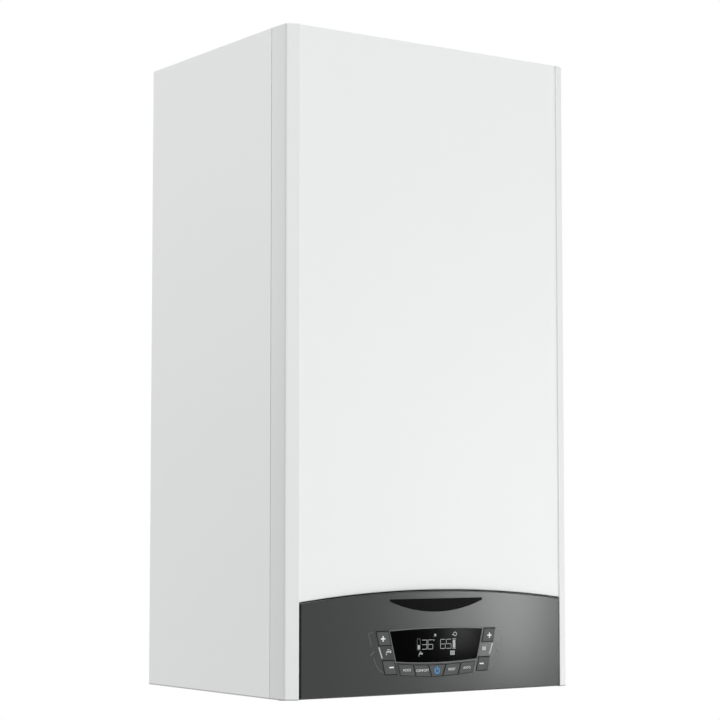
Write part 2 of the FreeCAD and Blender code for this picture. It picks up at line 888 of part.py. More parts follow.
def row_opening_corners():
    """The single opening that the five keys of the lower row share."""
    lefts = [row_key_corners(index, d.key_play) for index in range(5)]
    lower = [corners[0] for corners in lefts] + [lefts[4][1]]
    upper = [lefts[4][2]] + [corners[3] for corners in lefts[::-1]]
    lower[0] = (lower[0][0] - d.key_play, lower[0][1])
    lower[5] = (lower[5][0] + d.key_play, lower[5][1])
    upper[0] = (upper[0][0] + d.key_play, upper[0][1])
    upper[5] = (upper[5][0] - d.key_play, upper[5][1])
    return lower + upper


def fascia():
    """A moulded front bowed in plan and arched on top, with its openings and board posts."""
    body = new_body()
    plan = [
        (-fascia_half, fascia_back_y), (-fascia_half, face_y), (fascia_half, face_y),
        (fascia_half, fascia_back_y),
    ]
    foot = bottom + d.fascia_foot
    shoulder = bottom + d.fascia_side_height
    apex = shoulder + d.fascia_rise
    pad(body, outline(sketch_on(body, "XY_Plane", foot), plan, {1: d.fascia_bulge}), apex - foot)
    above = [
        (-fascia_half, shoulder), (fascia_half, shoulder), (fascia_half, apex + 1), (-fascia_half, apex + 1),
    ]
    pocket(body, outline(sketch_on(body, "XZ_Plane"), above, {0: -d.fascia_rise}))
    round_edges(body, d.fascia_edge_radius, front_of(face_y))
    posts = sketch_on(body, "XZ_Plane", -fascia_back_y)
    for x, z in post_spots():
        circle(posts, (x, z), d.key_stem_radius)
    pad(body, posts, d.board_gap, backwards=True)
    badge = sketch_on(body, "XZ_Plane", -fascia_apex_y)
    outline(badge, badge_corners(d.key_play / 4), {1: d.badge_drop})
    pocket(body, badge, d.inlay_depth + d.badge_sheet)
    bows = {0: d.display_bottom_rise, 2: d.display_top_rise}
    seat = sketch_on(body, "XZ_Plane", -fascia_apex_y)
    pocket(body, outline(seat, display_corners(d.key_play / 4), bows), d.inlay_depth + d.display_sheet)
    pocket(body, outline(sketch_on(body, "XZ_Plane"), display_corners(-d.display_ledge), bows))
    for hand in (-1, 1):
        for step in (0, 1):
            opening = sketch_on(body, "XZ_Plane")
            pocket(body, outline(opening, column_key_corners(hand, step, d.key_play)))
    pocket(body, outline(sketch_on(body, "XZ_Plane"), row_opening_corners()))
    keep(body, "fascia")


def post_spots():
    reach = box_half - d.board_gap * 2
    return [(hand * reach, level) for hand in (-1, 1)
            for level in (box_floor + d.board_gap, box_top - d.board_gap)]


def badge_plate():
    body = new_body()
    sketch = sketch_on(body, "XZ_Plane", -(fascia_apex_y + d.inlay_depth))
    pad(body, outline(sketch, badge_corners(0), {1: d.badge_drop}), d.badge_sheet, backwards=True)
    keep(body, "badge_plate")


def display_window():
    body = new_body()
    sketch = sketch_on(body, "XZ_Plane", -(fascia_apex_y + d.inlay_depth))
    bows = {0: d.display_bottom_rise, 2: d.display_top_rise}
    pad(body, outline(sketch, display_corners(0), bows), d.display_sheet, backwards=True)
    keep(body, "display_window")


def key(label, corners, lip_corners):
    """A key cap with a lip behind the fascia and a stem that reaches for its switch."""
    body = new_body()
    front = fascia_apex_y - d.key_proud
    pad(body, outline(sketch_on(body, "XZ_Plane", -fascia_back_y), corners), fascia_back_y - front)
    round_edges(body, d.key_edge, front_of(front), "PartDesign::Chamfer")
    lip = sketch_on(body, "XZ_Plane", -fascia_back_y)
    pad(body, outline(lip, lip_corners), d.key_lip, backwards=True)
    middle_x = (as_size(corners[0][0]) + corners[1][0] + corners[2][0] + corners[3][0]) / 4
    middle_z = (as_size(corners[0][1]) + corners[1][1] + corners[2][1] + corners[3][1]) / 4
    stem = circle(sketch_on(body, "XZ_Plane", -fascia_back_y), (middle_x, middle_z), d.key_stem_radius)
    pad(body, stem, d.board_gap - d.key_travel - d.key_play, backwards=True)
    keep(body, label)


def keys():
    lip = d.key_play + d.key_lip
    for name, hand in (("hot_water", -1), ("heating", 1)):
        for action, step in (("up", 0), ("down", 1)):
            corners = column_key_corners(hand, step, 0)
            lip_corners = column_key_corners(hand, step, lip)
            key(f"{name}_{action}_key", corners, lip_corners)
    for index, name in enumerate(("mode", "comfort", "power", "reset", "auto")):
        key(f"{name}_key", row_key_corners(index, 0), row_key_corners(index, lip))


def control_box():
    """A tray behind the fascia, with a pivot pin at each lower front corner."""
    half = box_half
    shell = block(-half, half, fascia_back_y, box_back_y, box_floor, box_top)
    hollow = block(-half + d.box_wall, half - d.box_wall, fascia_back_y, box_back_y,
                   box_floor + d.box_wall, box_top - d.box_wall)
    pin_length = d.ear_space + d.ear_sheet + 1
    pins = [
        rod(d.pivot_radius, pin_length, (half, pivot_y, pivot_z), RIGHT),
        rod(d.pivot_radius, pin_length, (-half, pivot_y, pivot_z), LEFT),
    ]
    keep(fuse([cut(shell, [hollow])] + pins), "control_box")


def control_board():
    """The circuit board with its display module, relays, transformer and connectors."""
    reach = box_half - d.board_gap
    low = box_floor + d.board_gap / 2
    high = box_top - d.board_gap / 2
    back = board_y + d.board_sheet
    pieces = [block(-reach, reach, board_y, back, low, high)]
    module = display_corners(-d.display_ledge * 2)
    module_front = fascia_apex_y + d.inlay_depth + d.display_sheet
    pieces.append(block(module[0][0], module[1][0], module_front, board_y, module[0][1], module[2][1]))
    relay = d.board_gap * 1.5
    for index in range(5):
        left = -reach + relay * (index + 1) * 1.3
        pieces.append(block(left, left + relay, back, back + relay, high - relay * 2, high - relay / 2))
        pieces.append(block(left, left + relay, back, back + relay / 2, low + 2, low + relay / 2))
    coil = d.board_gap * 3
    pieces.append(block(reach - coil * 2, reach - coil, back, back + coil * 0.8, low + 6, low + 6 + coil))
    for index in range(3):
        pieces.append(rod(relay / 3, relay, (reach - relay * (index + 1) * 0.7, back, high - relay), BACK))
    keep(fuse(pieces), "control_board")


def control_box_cover():
    half = box_half
    plate = block(-half, half, box_back_y, box_back_y + d.box_wall, box_floor, box_top)
    gland = d.board_gap / 2
    glands = [rod(gland, gland * 2, (hand * half / 2, box_back_y, box_floor + gland * 2), BACK)
              for hand in (-1, 0, 1)]
    keep(fuse([plate] + glands), "control_box_cover")


# Sealed air box

def lid_screw_spots():
    """Three screws down each side of the lid and one in the middle of its ends."""
    side = air_half - d.lid_screw_inset
    low = air_floor + d.lid_screw_inset
    high = air_top - d.lid_screw_inset
    middle = (low + high) / 2
    spots = [(hand * side, level) for hand in (-1, 1) for level in (low, middle, high)]
    return spots + [(0, low), (0, high)]


def air_box():
    """A folded box open at the front inside a flange, with holes for flue, air, gas and water."""
    gauge = d.panel_sheet
    rim = d.air_flange
    shell = block(-air_half, air_half, air_front_y, air_back_y, air_floor, air_top)
    hollow = block(-air_half + gauge, air_half - gauge, air_front_y + gauge, air_back_y - gauge,
                   air_inner_floor, air_top - gauge)
    opening = block(-air_half + rim, air_half - rim, air_front_y, air_front_y + gauge,
                    air_floor + rim, air_top - rim)
    tools = [hollow, opening]
    tools.append(rod(d.flue_radius + d.flue_wall, gauge, (0, fan_mid_y, air_top - gauge)))
    for hand in (-1, 1):
        at = (hand * d.inlet_spacing / 2, fan_mid_y, air_top - gauge)
        tools.append(rod(d.inlet_radius, gauge, at))
    clear = d.pipe_radius + gauge
    for x, y in ((-riser_x, flow_tube_y), (riser_x, return_tube_y), (0, manifold_mid_y)):
        tools.append(rod(clear, gauge, (x, y, air_floor)))
    for x, z in lid_screw_spots():
        tools.append(rod(d.lid_screw_radius, gauge, (x, air_front_y, z), BACK))
    keep(cut(shell, tools), "air_box")


def air_box_lid():
    """A flat rim with a pressed field that stands forward, hollow behind like a pressing."""
    body = new_body()
    gauge = d.panel_sheet
    back = air_front_y - d.seal_thickness
    rim = sketch_on(body, "XZ_Plane", -back)
    pad(body, rectangle(rim, -air_half, air_half, air_floor, air_top), gauge)
    margin = d.lid_margin
    field = sketch_on(body, "XZ_Plane", -back)
    rectangle(field, margin - air_half, air_half - margin, air_floor + margin, air_top - margin)
    pad(body, field, d.lid_emboss + gauge)
    round_edges(body, d.lid_emboss - gauge, front_of(back - gauge - d.lid_emboss),
                "PartDesign::Chamfer")
    inset = margin + d.lid_emboss
    hollow = sketch_on(body, "XZ_Plane", -back)
    rectangle(hollow, inset - air_half, air_half - inset, air_floor + inset, air_top - inset)
    pocket(body, hollow, d.lid_emboss, backwards=True)
    holes = sketch_on(body, "XZ_Plane", -back)
    for spot in lid_screw_spots():
        circle(holes, spot, d.lid_screw_radius + gauge / 4)
    circle(holes, (0, air_floor + d.sight_height), d.sight_radius)
    pocket(body, holes)
    keep(body, "air_box_lid")


def lid_seal():
    """The foam strip between the air box's flange and its lid."""
    inset = d.seal_inset
    inner = inset + d.seal_width
    back = air_front_y
    front = back - d.seal_thickness
    outer = block(inset - air_half, air_half - inset, front, back, air_floor + inset, air_top - inset)
    hollow = block(inner - air_half, air_half - inner, front, back, air_floor + inner, air_top - inner)
    keep(cut(outer, [hollow]), "lid_seal")


def lid_screws():
    front = air_front_y - d.seal_thickness - d.panel_sheet
    screws = [screw(d.lid_screw_radius, d.lid_screw_length, d.lid_screw_head, d.lid_screw_head * 0.7,
                    (x, front, z), BACK) for x, z in lid_screw_spots()]
    keep(group(screws), "lid_screws")


def sight_glass():
    """A flanged glass in the lid, to watch the flame through."""
    front = air_front_y - d.seal_thickness - d.panel_sheet - d.lid_emboss
    flange = d.sight_radius + d.panel_sheet * 4
    profile = [(0, -d.panel_sheet * 2), (flange, -d.panel_sheet * 2), (flange, 0),
               (d.sight_radius - d.panel_sheet / 4, 0),
               (d.sight_radius - d.panel_sheet / 4, d.panel_sheet * 3), (0, d.panel_sheet * 3)]
    keep(turned(profile, (0, front, air_floor + d.sight_height), BACK), "sight_glass")


def flue_spigot():
    """The flue socket: a flange on the air box, a tube down to the fan and a stop inside."""
    inner = d.flue_radius
    outer = inner + d.flue_wall
    stop = inner - d.flue_wall * 2
    depth = fan_outlet_z - air_top
    plate = d.flue_wall * 1.5
    profile = [
        (stop, depth), (outer, depth), (outer, 0), (d.flue_flange, 0), (d.flue_flange, plate),
        (outer + plate, plate), (outer, plate * 2), (outer, d.flue_socket), (inner, d.flue_socket),
        (inner, plate), (stop, plate),
    ]
    body = turned(profile, (0, fan_mid_y, air_top))
    holes = sketch_on(body, "XY_Plane")
    reach = (d.flue_flange + outer) / 2 * math.sqrt(0.5) + d.flue_wall
    for x, y in ((1, 1), (1, -1), (-1, 1), (-1, -1)):
        circle(holes, (x * reach, y * reach), d.flue_wall)
    pocket(body, holes, plate, backwards=True)
    keep(body, "flue_spigot")


def air_inlet_caps():
    caps = []
    for hand in (-1, 1):
        at = (hand * d.inlet_spacing / 2, fan_mid_y, air_top)
        rim = d.inlet_radius + d.panel_sheet * 6
        dome = d.inlet_radius - d.panel_sheet
        profile = [(0, 0), (rim, 0), (rim, d.panel_sheet), (dome, d.panel_sheet),
                   (dome - d.panel_sheet * 3, d.panel_sheet * 4), (0, d.panel_sheet * 4)]
        caps.append(turned(profile, at))
    keep(group(caps), "air_inlet_caps")


# Burner, chamber and heat exchanger

def burner():
    """A row of hollow burner blades with slotted crowns, tied by a rail at each end."""
    body = new_body()
    half = d.blade_width / 2
    first = -1 * blade_pitch * (d.blade_count - 1) / 2
    crown = half * 0.7
    shoulder = burner_floor + d.burner_height - crown
    start = sketch_on(body, "XZ_Plane", -(stack_back_y - d.rail_depth))
    for inset in (as_size(0), d.panel_sheet):
        reach = half - inset
        low = burner_floor + inset
        section = [(first - reach, low), (first + reach, low), (first + reach, shoulder),
                   (first - reach, shoulder)]
        outline(start, section, {2: crown - inset})
    blade = pad(body, start, stack_depth - 2 * d.rail_depth)
    slots = sketch_on(body, "XZ_Plane", -stack_mid_y)
    rectangle(slots, first - half / 4, first + half / 4, shoulder, chamber_floor + 1)
    groove = pocket(body, slots, stack_depth / 2 - d.rail_depth * 2)
    groove.SideType = "Symmetric"
    row = body.newObject("PartDesign::LinearPattern", "Row")
    row.Originals = [blade, groove]
    row.Direction = (start, ["H_Axis"])
    bind(row, "Length", blade_pitch * (d.blade_count - 1))
    bind(row, "Occurrences", d.blade_count)
    body.Tip = row
    rails = [block(-stack_half, stack_half, y, y + d.rail_depth, burner_floor,
                   burner_floor + d.rail_height)
             for y in (stack_front_y, stack_back_y - d.rail_depth)]
    ends = [block(x, x + d.rail_depth, stack_front_y, stack_back_y, burner_floor, chamber_floor)
            for x in (-stack_half, stack_half - d.rail_depth)]
    feet = [block(x, x + d.rail_depth, y, y + d.rail_depth, air_inner_floor, burner_floor)
            for x in (-stack_half, stack_half - d.rail_depth)
            for y in (stack_front_y, stack_back_y - d.rail_depth)]
    keep(fuse([body] + rails + ends + feet), "burner")


def electrode_spots():
    return [(index * d.electrode_spacing - d.electrode_spacing, chamber_floor + d.board_thickness)
            for index in range(3)]


def electrode_holes(grow):
    front = stack_front_y - d.panel_sheet
    length = d.board_thickness + d.panel_sheet * 3
    return [rod(d.electrode_radius + grow, length, (x, front, z), BACK) for x, z in electrode_spots()]


def combustion_chamber():
    """Four sheet walls between burner and exchanger, holed for the electrodes."""
    gauge = d.panel_sheet
    shell = block(-stack_half, stack_half, stack_front_y, stack_back_y, chamber_floor, exchanger_floor)
    hollow = block(gauge - stack_half, stack_half - gauge, stack_front_y + gauge, stack_back_y - gauge,
                   chamber_floor, exchanger_floor)
    keep(cut(shell, [hollow] + electrode_holes(gauge / 4)), "combustion_chamber")


def insulation_boards():
    gauge = d.panel_sheet
    thick = d.board_thickness
    half = stack_half - gauge
    front = stack_front_y + gauge
    back = stack_back_y - gauge
    boards = [
        cut(block(-half, half, front, front + thick, chamber_floor, exchanger_floor),
            electrode_holes(gauge / 4)),
        block(-half, half, back - thick, back, chamber_floor, exchanger_floor),
        block(-half, thick - half, front + thick, back - thick, chamber_floor, exchanger_floor),
        block(half - thick, half, front + thick, back - thick, chamber_floor, exchanger_floor),
    ]
    keep(group(boards), "insulation_boards")


def electrodes():
    """Ceramic-bodied electrodes through the chamber wall, each with a collar and a wire tip."""
    pieces = []
    radius = d.electrode_radius
    reach = d.board_thickness + d.panel_sheet
    for x, z in electrode_spots():
        profile = [(0, -reach * 2), (radius * 0.6, -reach * 2), (radius, -reach),
                   (radius * 2, -reach / 3), (radius * 2, 0), (radius, 0), (radius, reach * 1.5),
                   (radius / 3, reach * 1.5), (radius / 3, reach * 4), (0, reach * 4)]
        pieces.append(turned(profile, (x, stack_front_y, z), BACK))
    keep(group(pieces), "electrodes")


def gas_manifold():
    """A bar before the burner with an injector for each blade and a riser through the floor."""
    body = new_body()
    reach = blade_pitch * (d.blade_count - 1) / 2
    low = burner_floor + (d.rail_height - d.manifold_height) / 2
    front = manifold_mid_y - d.manifold_depth / 2
    back = manifold_mid_y + d.manifold_depth / 2
    half = reach + d.blade_width
    pad(body, rectangle(sketch_on(body, "XY_Plane", low), -half, half, front, back), d.manifold_height)
    round_edges(body, d.panel_sheet * 2, lambda edge: True)
    nozzle = sketch_on(body, "XZ_Plane", -back)
    circle(nozzle, (-reach, low + d.manifold_height / 2), d.injector_radius)
    injector = pad(body, nozzle, d.injector_length, backwards=True)
    row = body.newObject("PartDesign::LinearPattern", "Row")
    row.Originals = [injector]
    row.Direction = (nozzle, ["H_Axis"])
    bind(row, "Length", 2 * reach)
    bind(row, "Occurrences", d.blade_count)
    body.Tip = row
    riser = rod(d.pipe_radius, low + d.panel_sheet * 3 - gas_joint_z,
                (0, manifold_mid_y, gas_joint_z))
    keep(fuse([body, riser]), "gas_manifold")


def tube_ys():
    return [return_tube_y + index * tube_pitch for index in range(SIZES["tube_count"])]


def tube_run(radius):
    """Straight tubes joined end to end by return bends, as solids of one radius."""
    runs = [rod(radius, 2 * tube_end_x, (-tube_end_x, y, tube_z), RIGHT) for y in tube_ys()]
    for index, y in enumerate(tube_ys()[:-1]):
        hand = -1 if index % 2 == 0 else 1
        bend = doc.addObject("Part::Torus", "Bend")
        bind(bend, "Radius1", tube_pitch / 2)
        bind(bend, "Radius2", radius)
        bend.Angle3 = 180
        turn = FreeCAD.Rotation(FreeCAD.Vector(0, 0, 1), -90 * hand)
        runs.append(place(bend, (hand * tube_end_x, y + tube_pitch / 2, tube_z), turn))
    return runs


def heat_exchanger():
    """Fins between sheet walls, on a hollow run of tubes."""
    body = new_body()
    first = -1 * fin_pitch * (d.fin_count - 1) / 2
    fin = sketch_on(body, "YZ_Plane", first - d.fin_sheet / 2)
    rectangle(fin, stack_front_y, stack_back_y, exchanger_floor, exchanger_top)
    plate = pad(body, fin, d.fin_sheet)
    row = body.newObject("PartDesign::LinearPattern", "Row")
    row.Originals = [plate]
    row.Direction = (next(part for part in body.Origin.OriginFeatures if part.Role == "X_Axis"), [""])
    bind(row, "Length", fin_pitch * (d.fin_count - 1))
    bind(row, "Occurrences", d.fin_count)
    body.Tip = row
    ends = [block(x, x + d.fin_sheet, stack_front_y, stack_back_y, exchanger_floor, exchanger_top)
            for x in (-stack_half, stack_half - d.fin_sheet)]
    walls = [block(-stack_half, stack_half, y, y + d.fin_sheet, exchanger_floor, exchanger_top)
             for y in (stack_front_y, stack_back_y - d.fin_sheet)]
    solid = fuse([body] + ends + walls + tube_run(d.tube_radius))
    keep(cut(solid, tube_run(d.tube_radius - d.tube_wall)), "heat_exchanger")


# Flue hood and fan

def hood_form(inset):
    """The hood as a solid: a sloped skirt and an upright neck, drawn in by a wall's thickness."""
    body = new_body()
    low = exchanger_top
    half = stack_half - inset
    neck_left = d.fan_offset - d.hood_neck_width / 2 + inset
    neck_right = d.fan_offset + d.hood_neck_width / 2 - inset
    skirt = rectangle(sketch_on(body, "XY_Plane", low), -half, half, stack_front_y + inset,
                      stack_back_y - inset)
    throat = rectangle(sketch_on(body, "XY_Plane", neck_floor - inset), neck_left, neck_right,
                       neck_front_y + inset, stack_back_y - inset)
    loft = body.newObject("PartDesign::AdditiveLoft", "Loft")
    loft.Profile = skirt
    loft.Sections = [throat]
    loft.Ruled = True
    neck = rectangle(sketch_on(body, "XY_Plane", neck_floor - inset), neck_left, neck_right,
                     neck_front_y + inset, stack_back_y - inset)
    pad(body, neck, d.hood_neck_height)
    return body


def flue_hood():
    mouth = rod(d.fan_inlet_radius, d.panel_sheet, (d.fan_offset, neck_front_y, fan_z), BACK)
    keep(cut(hood_form(as_size(0)), [hood_form(d.panel_sheet), mouth]), "flue_hood")


def scroll_outline(sketch, inset):
    """A volute that widens round the wheel to an outlet on top, drawn in by a wall's thickness."""
    x = d.fan_offset
    small = d.fan_small_radius - inset
    large = d.fan_large_radius - inset
    middle = (small + large) / 2
    outlet_left = x - large
    outlet_right = x - d.fan_large_radius + 2 * d.flue_radius - inset
    lip_z = fan_z + small
    bow = 1 - math.sqrt(0.5)
    corners = [
        (x, lip_z), (outlet_right, lip_z), (outlet_right, fan_outlet_z),
        (outlet_left, fan_outlet_z), (outlet_left, fan_z), (x, fan_z - middle), (x + small, fan_z),
    ]
    return outline(sketch, corners, {4: bow * (large + middle) / 2, 5: bow * (small + middle) / 2,
                                     6: bow * small})


def fan_housing():
    body = new_body()
    back = neck_front_y
    pad(body, scroll_outline(sketch_on(body, "XZ_Plane", -back), as_size(0)), d.fan_depth)
    hollow = scroll_outline(sketch_on(body, "XZ_Plane", -(back - d.fan_wall)), d.fan_wall)
    pocket(body, hollow, d.fan_depth - 2 * d.fan_wall, backwards=True)
    mouth = circle(sketch_on(body, "XZ_Plane", -back), (d.fan_offset, fan_z), d.fan_inlet_radius)
    pocket(body, mouth, d.fan_wall, backwards=True)
    seat = circle(sketch_on(body, "XZ_Plane", -fan_front_y), (d.fan_offset, fan_z), d.shaft_radius * 3)
    pocket(body, seat, d.fan_wall)
    keep(body, "fan_housing")


def bladed_wheel(outer, eye, width, blades, shaft_length):
    """A wheel on its shaft: hub and disc turned in one, with a ring of blades behind the disc."""
    hub = d.shaft_radius * 3
    disc = d.fan_wall
    profile = [(0, -width), (hub, -width), (hub, -disc), (outer, -disc), (outer, 0), (hub, 0),
               (d.shaft_radius, disc), (d.shaft_radius, shaft_length), (0, shaft_length)]
    body = turned(profile, (0, 0, 0))
    start = sketch_on(body, "XY_Plane", -width)
    lean = outer - eye
    outline(start, [(eye, 0), (outer - disc, lean), (outer - disc, lean + disc), (eye, disc)])
    blade = pad(body, start, width - disc / 2)
    ring = body.newObject("PartDesign::PolarPattern", "Ring")
    ring.Originals = [blade]
    ring.Axis = (next(part for part in body.Origin.OriginFeatures if part.Role == "Z_Axis"), [""])
    ring.Angle = 360
    bind(ring, "Occurrences", blades)
    body.Tip = ring
    return body


def fan_impeller():
    reach = d.fan_wall * 4
    wheel = bladed_wheel(d.impeller_radius, d.impeller_eye, d.impeller_width, d.impeller_blades,
                         reach + d.fan_motor_length / 2)
    place(wheel, (d.fan_offset, fan_front_y + reach, fan_z), FRONT)
    keep(wheel, "fan_impeller")


def fan_motor():
    """A shaded-pole style motor: mounting flange, stator drum and rear bearing cap."""
    bore = d.shaft_radius + d.shaft_play
    length = d.fan_motor_length
    flange = d.fan_wall * 2
    drum = d.fan_motor_radius
    profile = [(bore, 0), (drum + flange * 2, 0), (drum + flange * 2, flange), (drum, flange),
               (drum, length * 0.7), (drum - flange, length * 0.7 + flange), (drum / 2, length * 0.8),
               (drum / 2, length), (0, length), (0, length * 0.9), (bore, length * 0.9)]
    keep(turned(profile, (d.fan_offset, fan_front_y, fan_z), FRONT), "fan_motor")


def switch_spot():
    return d.panel_sheet - air_half, fan_mid_y, fan_z - d.switch_radius * 1.4


def pressure_switch():
    """A diaphragm switch on the side wall, with two hose nipples."""
    radius = d.switch_radius
    depth = d.switch_depth
    profile = [(0, 0), (radius * 0.7, 0), (radius * 0.7, depth * 0.3), (radius, depth * 0.35),
               (radius, depth * 0.5), (radius * 0.85, depth * 0.6), (radius * 0.85, depth), (0, depth)]
    x, y, z = switch_spot()
    pieces = [turned(profile, (x, y, z), RIGHT)]
    for offset in (-radius / 2, radius / 2):
        pieces.append(rod(d.hose_radius - d.hose_wall, depth / 2, (x + depth, y + offset, z), RIGHT))
    keep(fuse(pieces), "pressure_switch")


def sensing_hoses():
    """Two hoses from the pressure switch to the taps on the fan's outlet duct."""
    x, y, z = switch_spot()
    hoses = []
    duct_x = d.fan_offset - d.fan_large_radius
    for index, offset in enumerate((-d.switch_radius / 2, d.switch_radius / 2)):
        start_x = x + d.switch_depth
        turn_x = start_x + d.switch_depth * (1.6 + index * 0.5)
        level = fan_z + d.switch_radius * (1.7 - index)
        points = [(start_x, y + offset, z), (turn_x, y + offset, z), (turn_x, y + offset, level),
                  (duct_x, y + offset, level)]
        hoses.append(tube(points, d.hose_radius * 3, d.hose_radius, d.hose_wall))
    keep(group(hoses), "sensing_hoses")


# Expansion vessel and hydraulics

def vessel_form(inset, rim):
    """A flat drum with rounded shoulders and a rim, drawn in by a wall's thickness."""
    radius = d.vessel_radius - inset
    depth = d.vessel_depth - inset
    corner = d.vessel_corner - inset
    middle = d.vessel_depth / 2
    bow = corner * (1 - math.sqrt(0.5))
    profile = [(0, inset), (radius - corner, inset), (radius, inset + corner), (radius, middle - rim),
               (radius + rim, middle - rim / 2), (radius + rim, middle + rim / 2), (radius, middle + rim),
               (radius, depth - corner), (radius - corner, depth), (0, depth)]
    return turned(profile, (0, frame_front_y, vessel_z), FRONT, {1: bow, 7: bow})


def expansion_vessel():
    """The vessel's two pressed halves with their crimped rim, and the water nipple below."""
    wall = d.panel_sheet * 1.5
    shell = cut(vessel_form(as_size(0), d.vessel_rim), [vessel_form(wall, d.vessel_rim - wall)])
    nipple = rod(d.vessel_nipple, vessel_z - d.vessel_radius - d.vessel_rim / 2 - nipple_z,
                 (0, vessel_mid_y, nipple_z))
    keep(fuse([shell, nipple]), "expansion_vessel")


def vessel_pipe():
    end_x = cold_x - d.block_overhang + d.vessel_pipe_radius + 2
    drop = d.pipe_bend * 2
    points = [(0, vessel_mid_y, nipple_z), (0, vessel_mid_y, nipple_z - drop),
              (end_x, pipe_row_y, valve_top + drop), (end_x, pipe_row_y, block_top)]
    keep(tube(points, d.pipe_bend, d.vessel_pipe_radius, d.pipe_wall), "vessel_pipe")


def stub_rows():
    """Each connection's X and thread radius, from heating flow to heating return."""
    return [(flow_x, d.large_thread_radius), (hot_x, d.small_thread_radius),
            (0, d.large_thread_radius), (cold_x, d.small_thread_radius),
            (return_x, d.large_thread_radius)]


def water_connections():
    stubs = []
    height = block_floor - bottom - d.stub_lift
    for x, radius in stub_rows():
        bore = radius - d.stub_collar
        collar = radius + d.stub_collar
        profile = [(bore, 0), (radius - 1, 0), (radius, 1), (radius, d.stub_thread),
                   (collar, d.stub_thread), (collar, height), (bore, height)]
        if as_size(x).number != 0:
            stubs.append(turned(profile, (x, pipe_row_y, bottom + d.stub_lift)))
    keep(group(stubs), "water_connections")


def gas_inlet():
    """The gas connection: a threaded end, a collar and a straight pipe up to the valve."""
    radius = d.large_thread_radius
    bore = d.pipe_radius - d.pipe_wall
    collar = radius + d.stub_collar
    collar_top = block_floor - bottom - d.stub_lift
    height = valve_floor - d.block_corner - bottom - d.stub_lift
    profile = [(bore, 0), (radius - 1, 0), (radius, 1), (radius, d.stub_thread),
               (collar, d.stub_thread), (collar, collar_top), (d.pipe_radius, collar_top),
               (d.pipe_radius, height), (bore, height)]
    keep(turned(profile, (0, pipe_row_y, bottom + d.stub_lift)), "gas_inlet")


def gas_valve():
    """A cast valve body with a flange at each end, two coils and a regulator cap in front."""
    half = d.valve_width / 2
    body = rounded_block(-half, half, valve_front_y, pipe_row_y + d.valve_depth / 2, valve_floor,
                         valve_top, d.block_corner)
    flange = d.pipe_radius * 2
    pieces = [body]
    pieces.append(rod(flange, d.block_corner * 2, (0, pipe_row_y, valve_floor - d.block_corner)))
    pieces.append(rod(flange, d.block_corner * 2, (0, pipe_row_y, valve_top - d.block_corner)))
    coil_z = valve_floor + d.valve_height * 0.64
    for hand in (-1, 1):
        at = (hand * half / 2, valve_front_y, coil_z)
        reach = d.coil_length
        profile = [(0, 0), (d.coil_radius, 0), (d.coil_radius, reach - 2), (d.coil_radius - 2, reach),
                   (d.coil_radius / 2, reach), (d.coil_radius / 2, reach + 4), (0, reach + 4)]
        pieces.append(turned(profile, at, FRONT))
    cap = d.coil_radius * 0.7
    regulator = [(0, 0), (cap, 0), (cap, cap * 1.4), (cap * 0.8, cap * 1.6), (0, cap * 1.6)]
    pieces.append(turned(regulator, (0, valve_front_y, valve_floor + d.valve_height * 0.2), FRONT))
    keep(fuse(pieces), "gas_valve")


def gas_pipe():
    start_z = valve_top + d.block_corner
    turn_z = (start_z + gas_joint_z) / 2
    points = [(0, pipe_row_y, start_z), (0, pipe_row_y, turn_z), (0, manifold_mid_y, turn_z),
              (0, manifold_mid_y, gas_joint_z)]
    keep(tube(points, d.pipe_bend, d.pipe_radius, d.pipe_wall), "gas_pipe")


def flow_pipe():
    tower_top = block_top + d.tower_height
    points = [(-tube_end_x, flow_tube_y, tube_z), (-riser_x, flow_tube_y, tube_z),
              (-riser_x, flow_tube_y, air_floor - d.pipe_bend),
              (flow_x, pipe_row_y, tower_top + d.pipe_bend), (flow_x, pipe_row_y, tower_top)]
    keep(tube(points, d.pipe_bend, d.pipe_radius, d.pipe_wall), "flow_pipe")


def return_pipe():
    port_x = pump_x + d.pump_port_offset
    points = [(tube_end_x, return_tube_y, tube_z), (riser_x, return_tube_y, tube_z),
              (riser_x, return_tube_y, air_floor - d.pipe_bend),
              (port_x, pipe_row_y, port_z + d.pipe_bend), (port_x, pipe_row_y, port_z)]
    keep(tube(points, d.pipe_bend, d.pipe_radius, d.pipe_wall), "return_pipe")


def return_block():
    casting = rounded_block(cold_x - d.block_overhang, return_x + d.block_overhang, block_front_y,
                            block_back_y, block_floor, block_top, d.block_corner)
    keep(casting, "return_block")


def flow_block():
    """The flow casting: a tower for the flow pipe, a valve chamber and the filling tap's bore."""
    casting = rounded_block(flow_x - d.block_overhang, hot_x + d.block_overhang, block_front_y,
                            block_back_y, block_floor, block_top, d.block_corner)
    tower = rod(d.tower_radius, d.tower_height + d.block_corner,
                (flow_x, pipe_row_y, block_top - d.block_corner))
    chamber = rod(d.diverter_cavity, d.block_depth * 0.75, (fill_x, block_front_y, block_mid_z), BACK)
    tap = rod(d.fill_shaft_radius + d.shaft_play, d.block_corner * 1.6, (fill_x, pipe_row_y, block_floor))
    keep(cut(fuse([casting, tower]), [chamber, tap]), "flow_block")


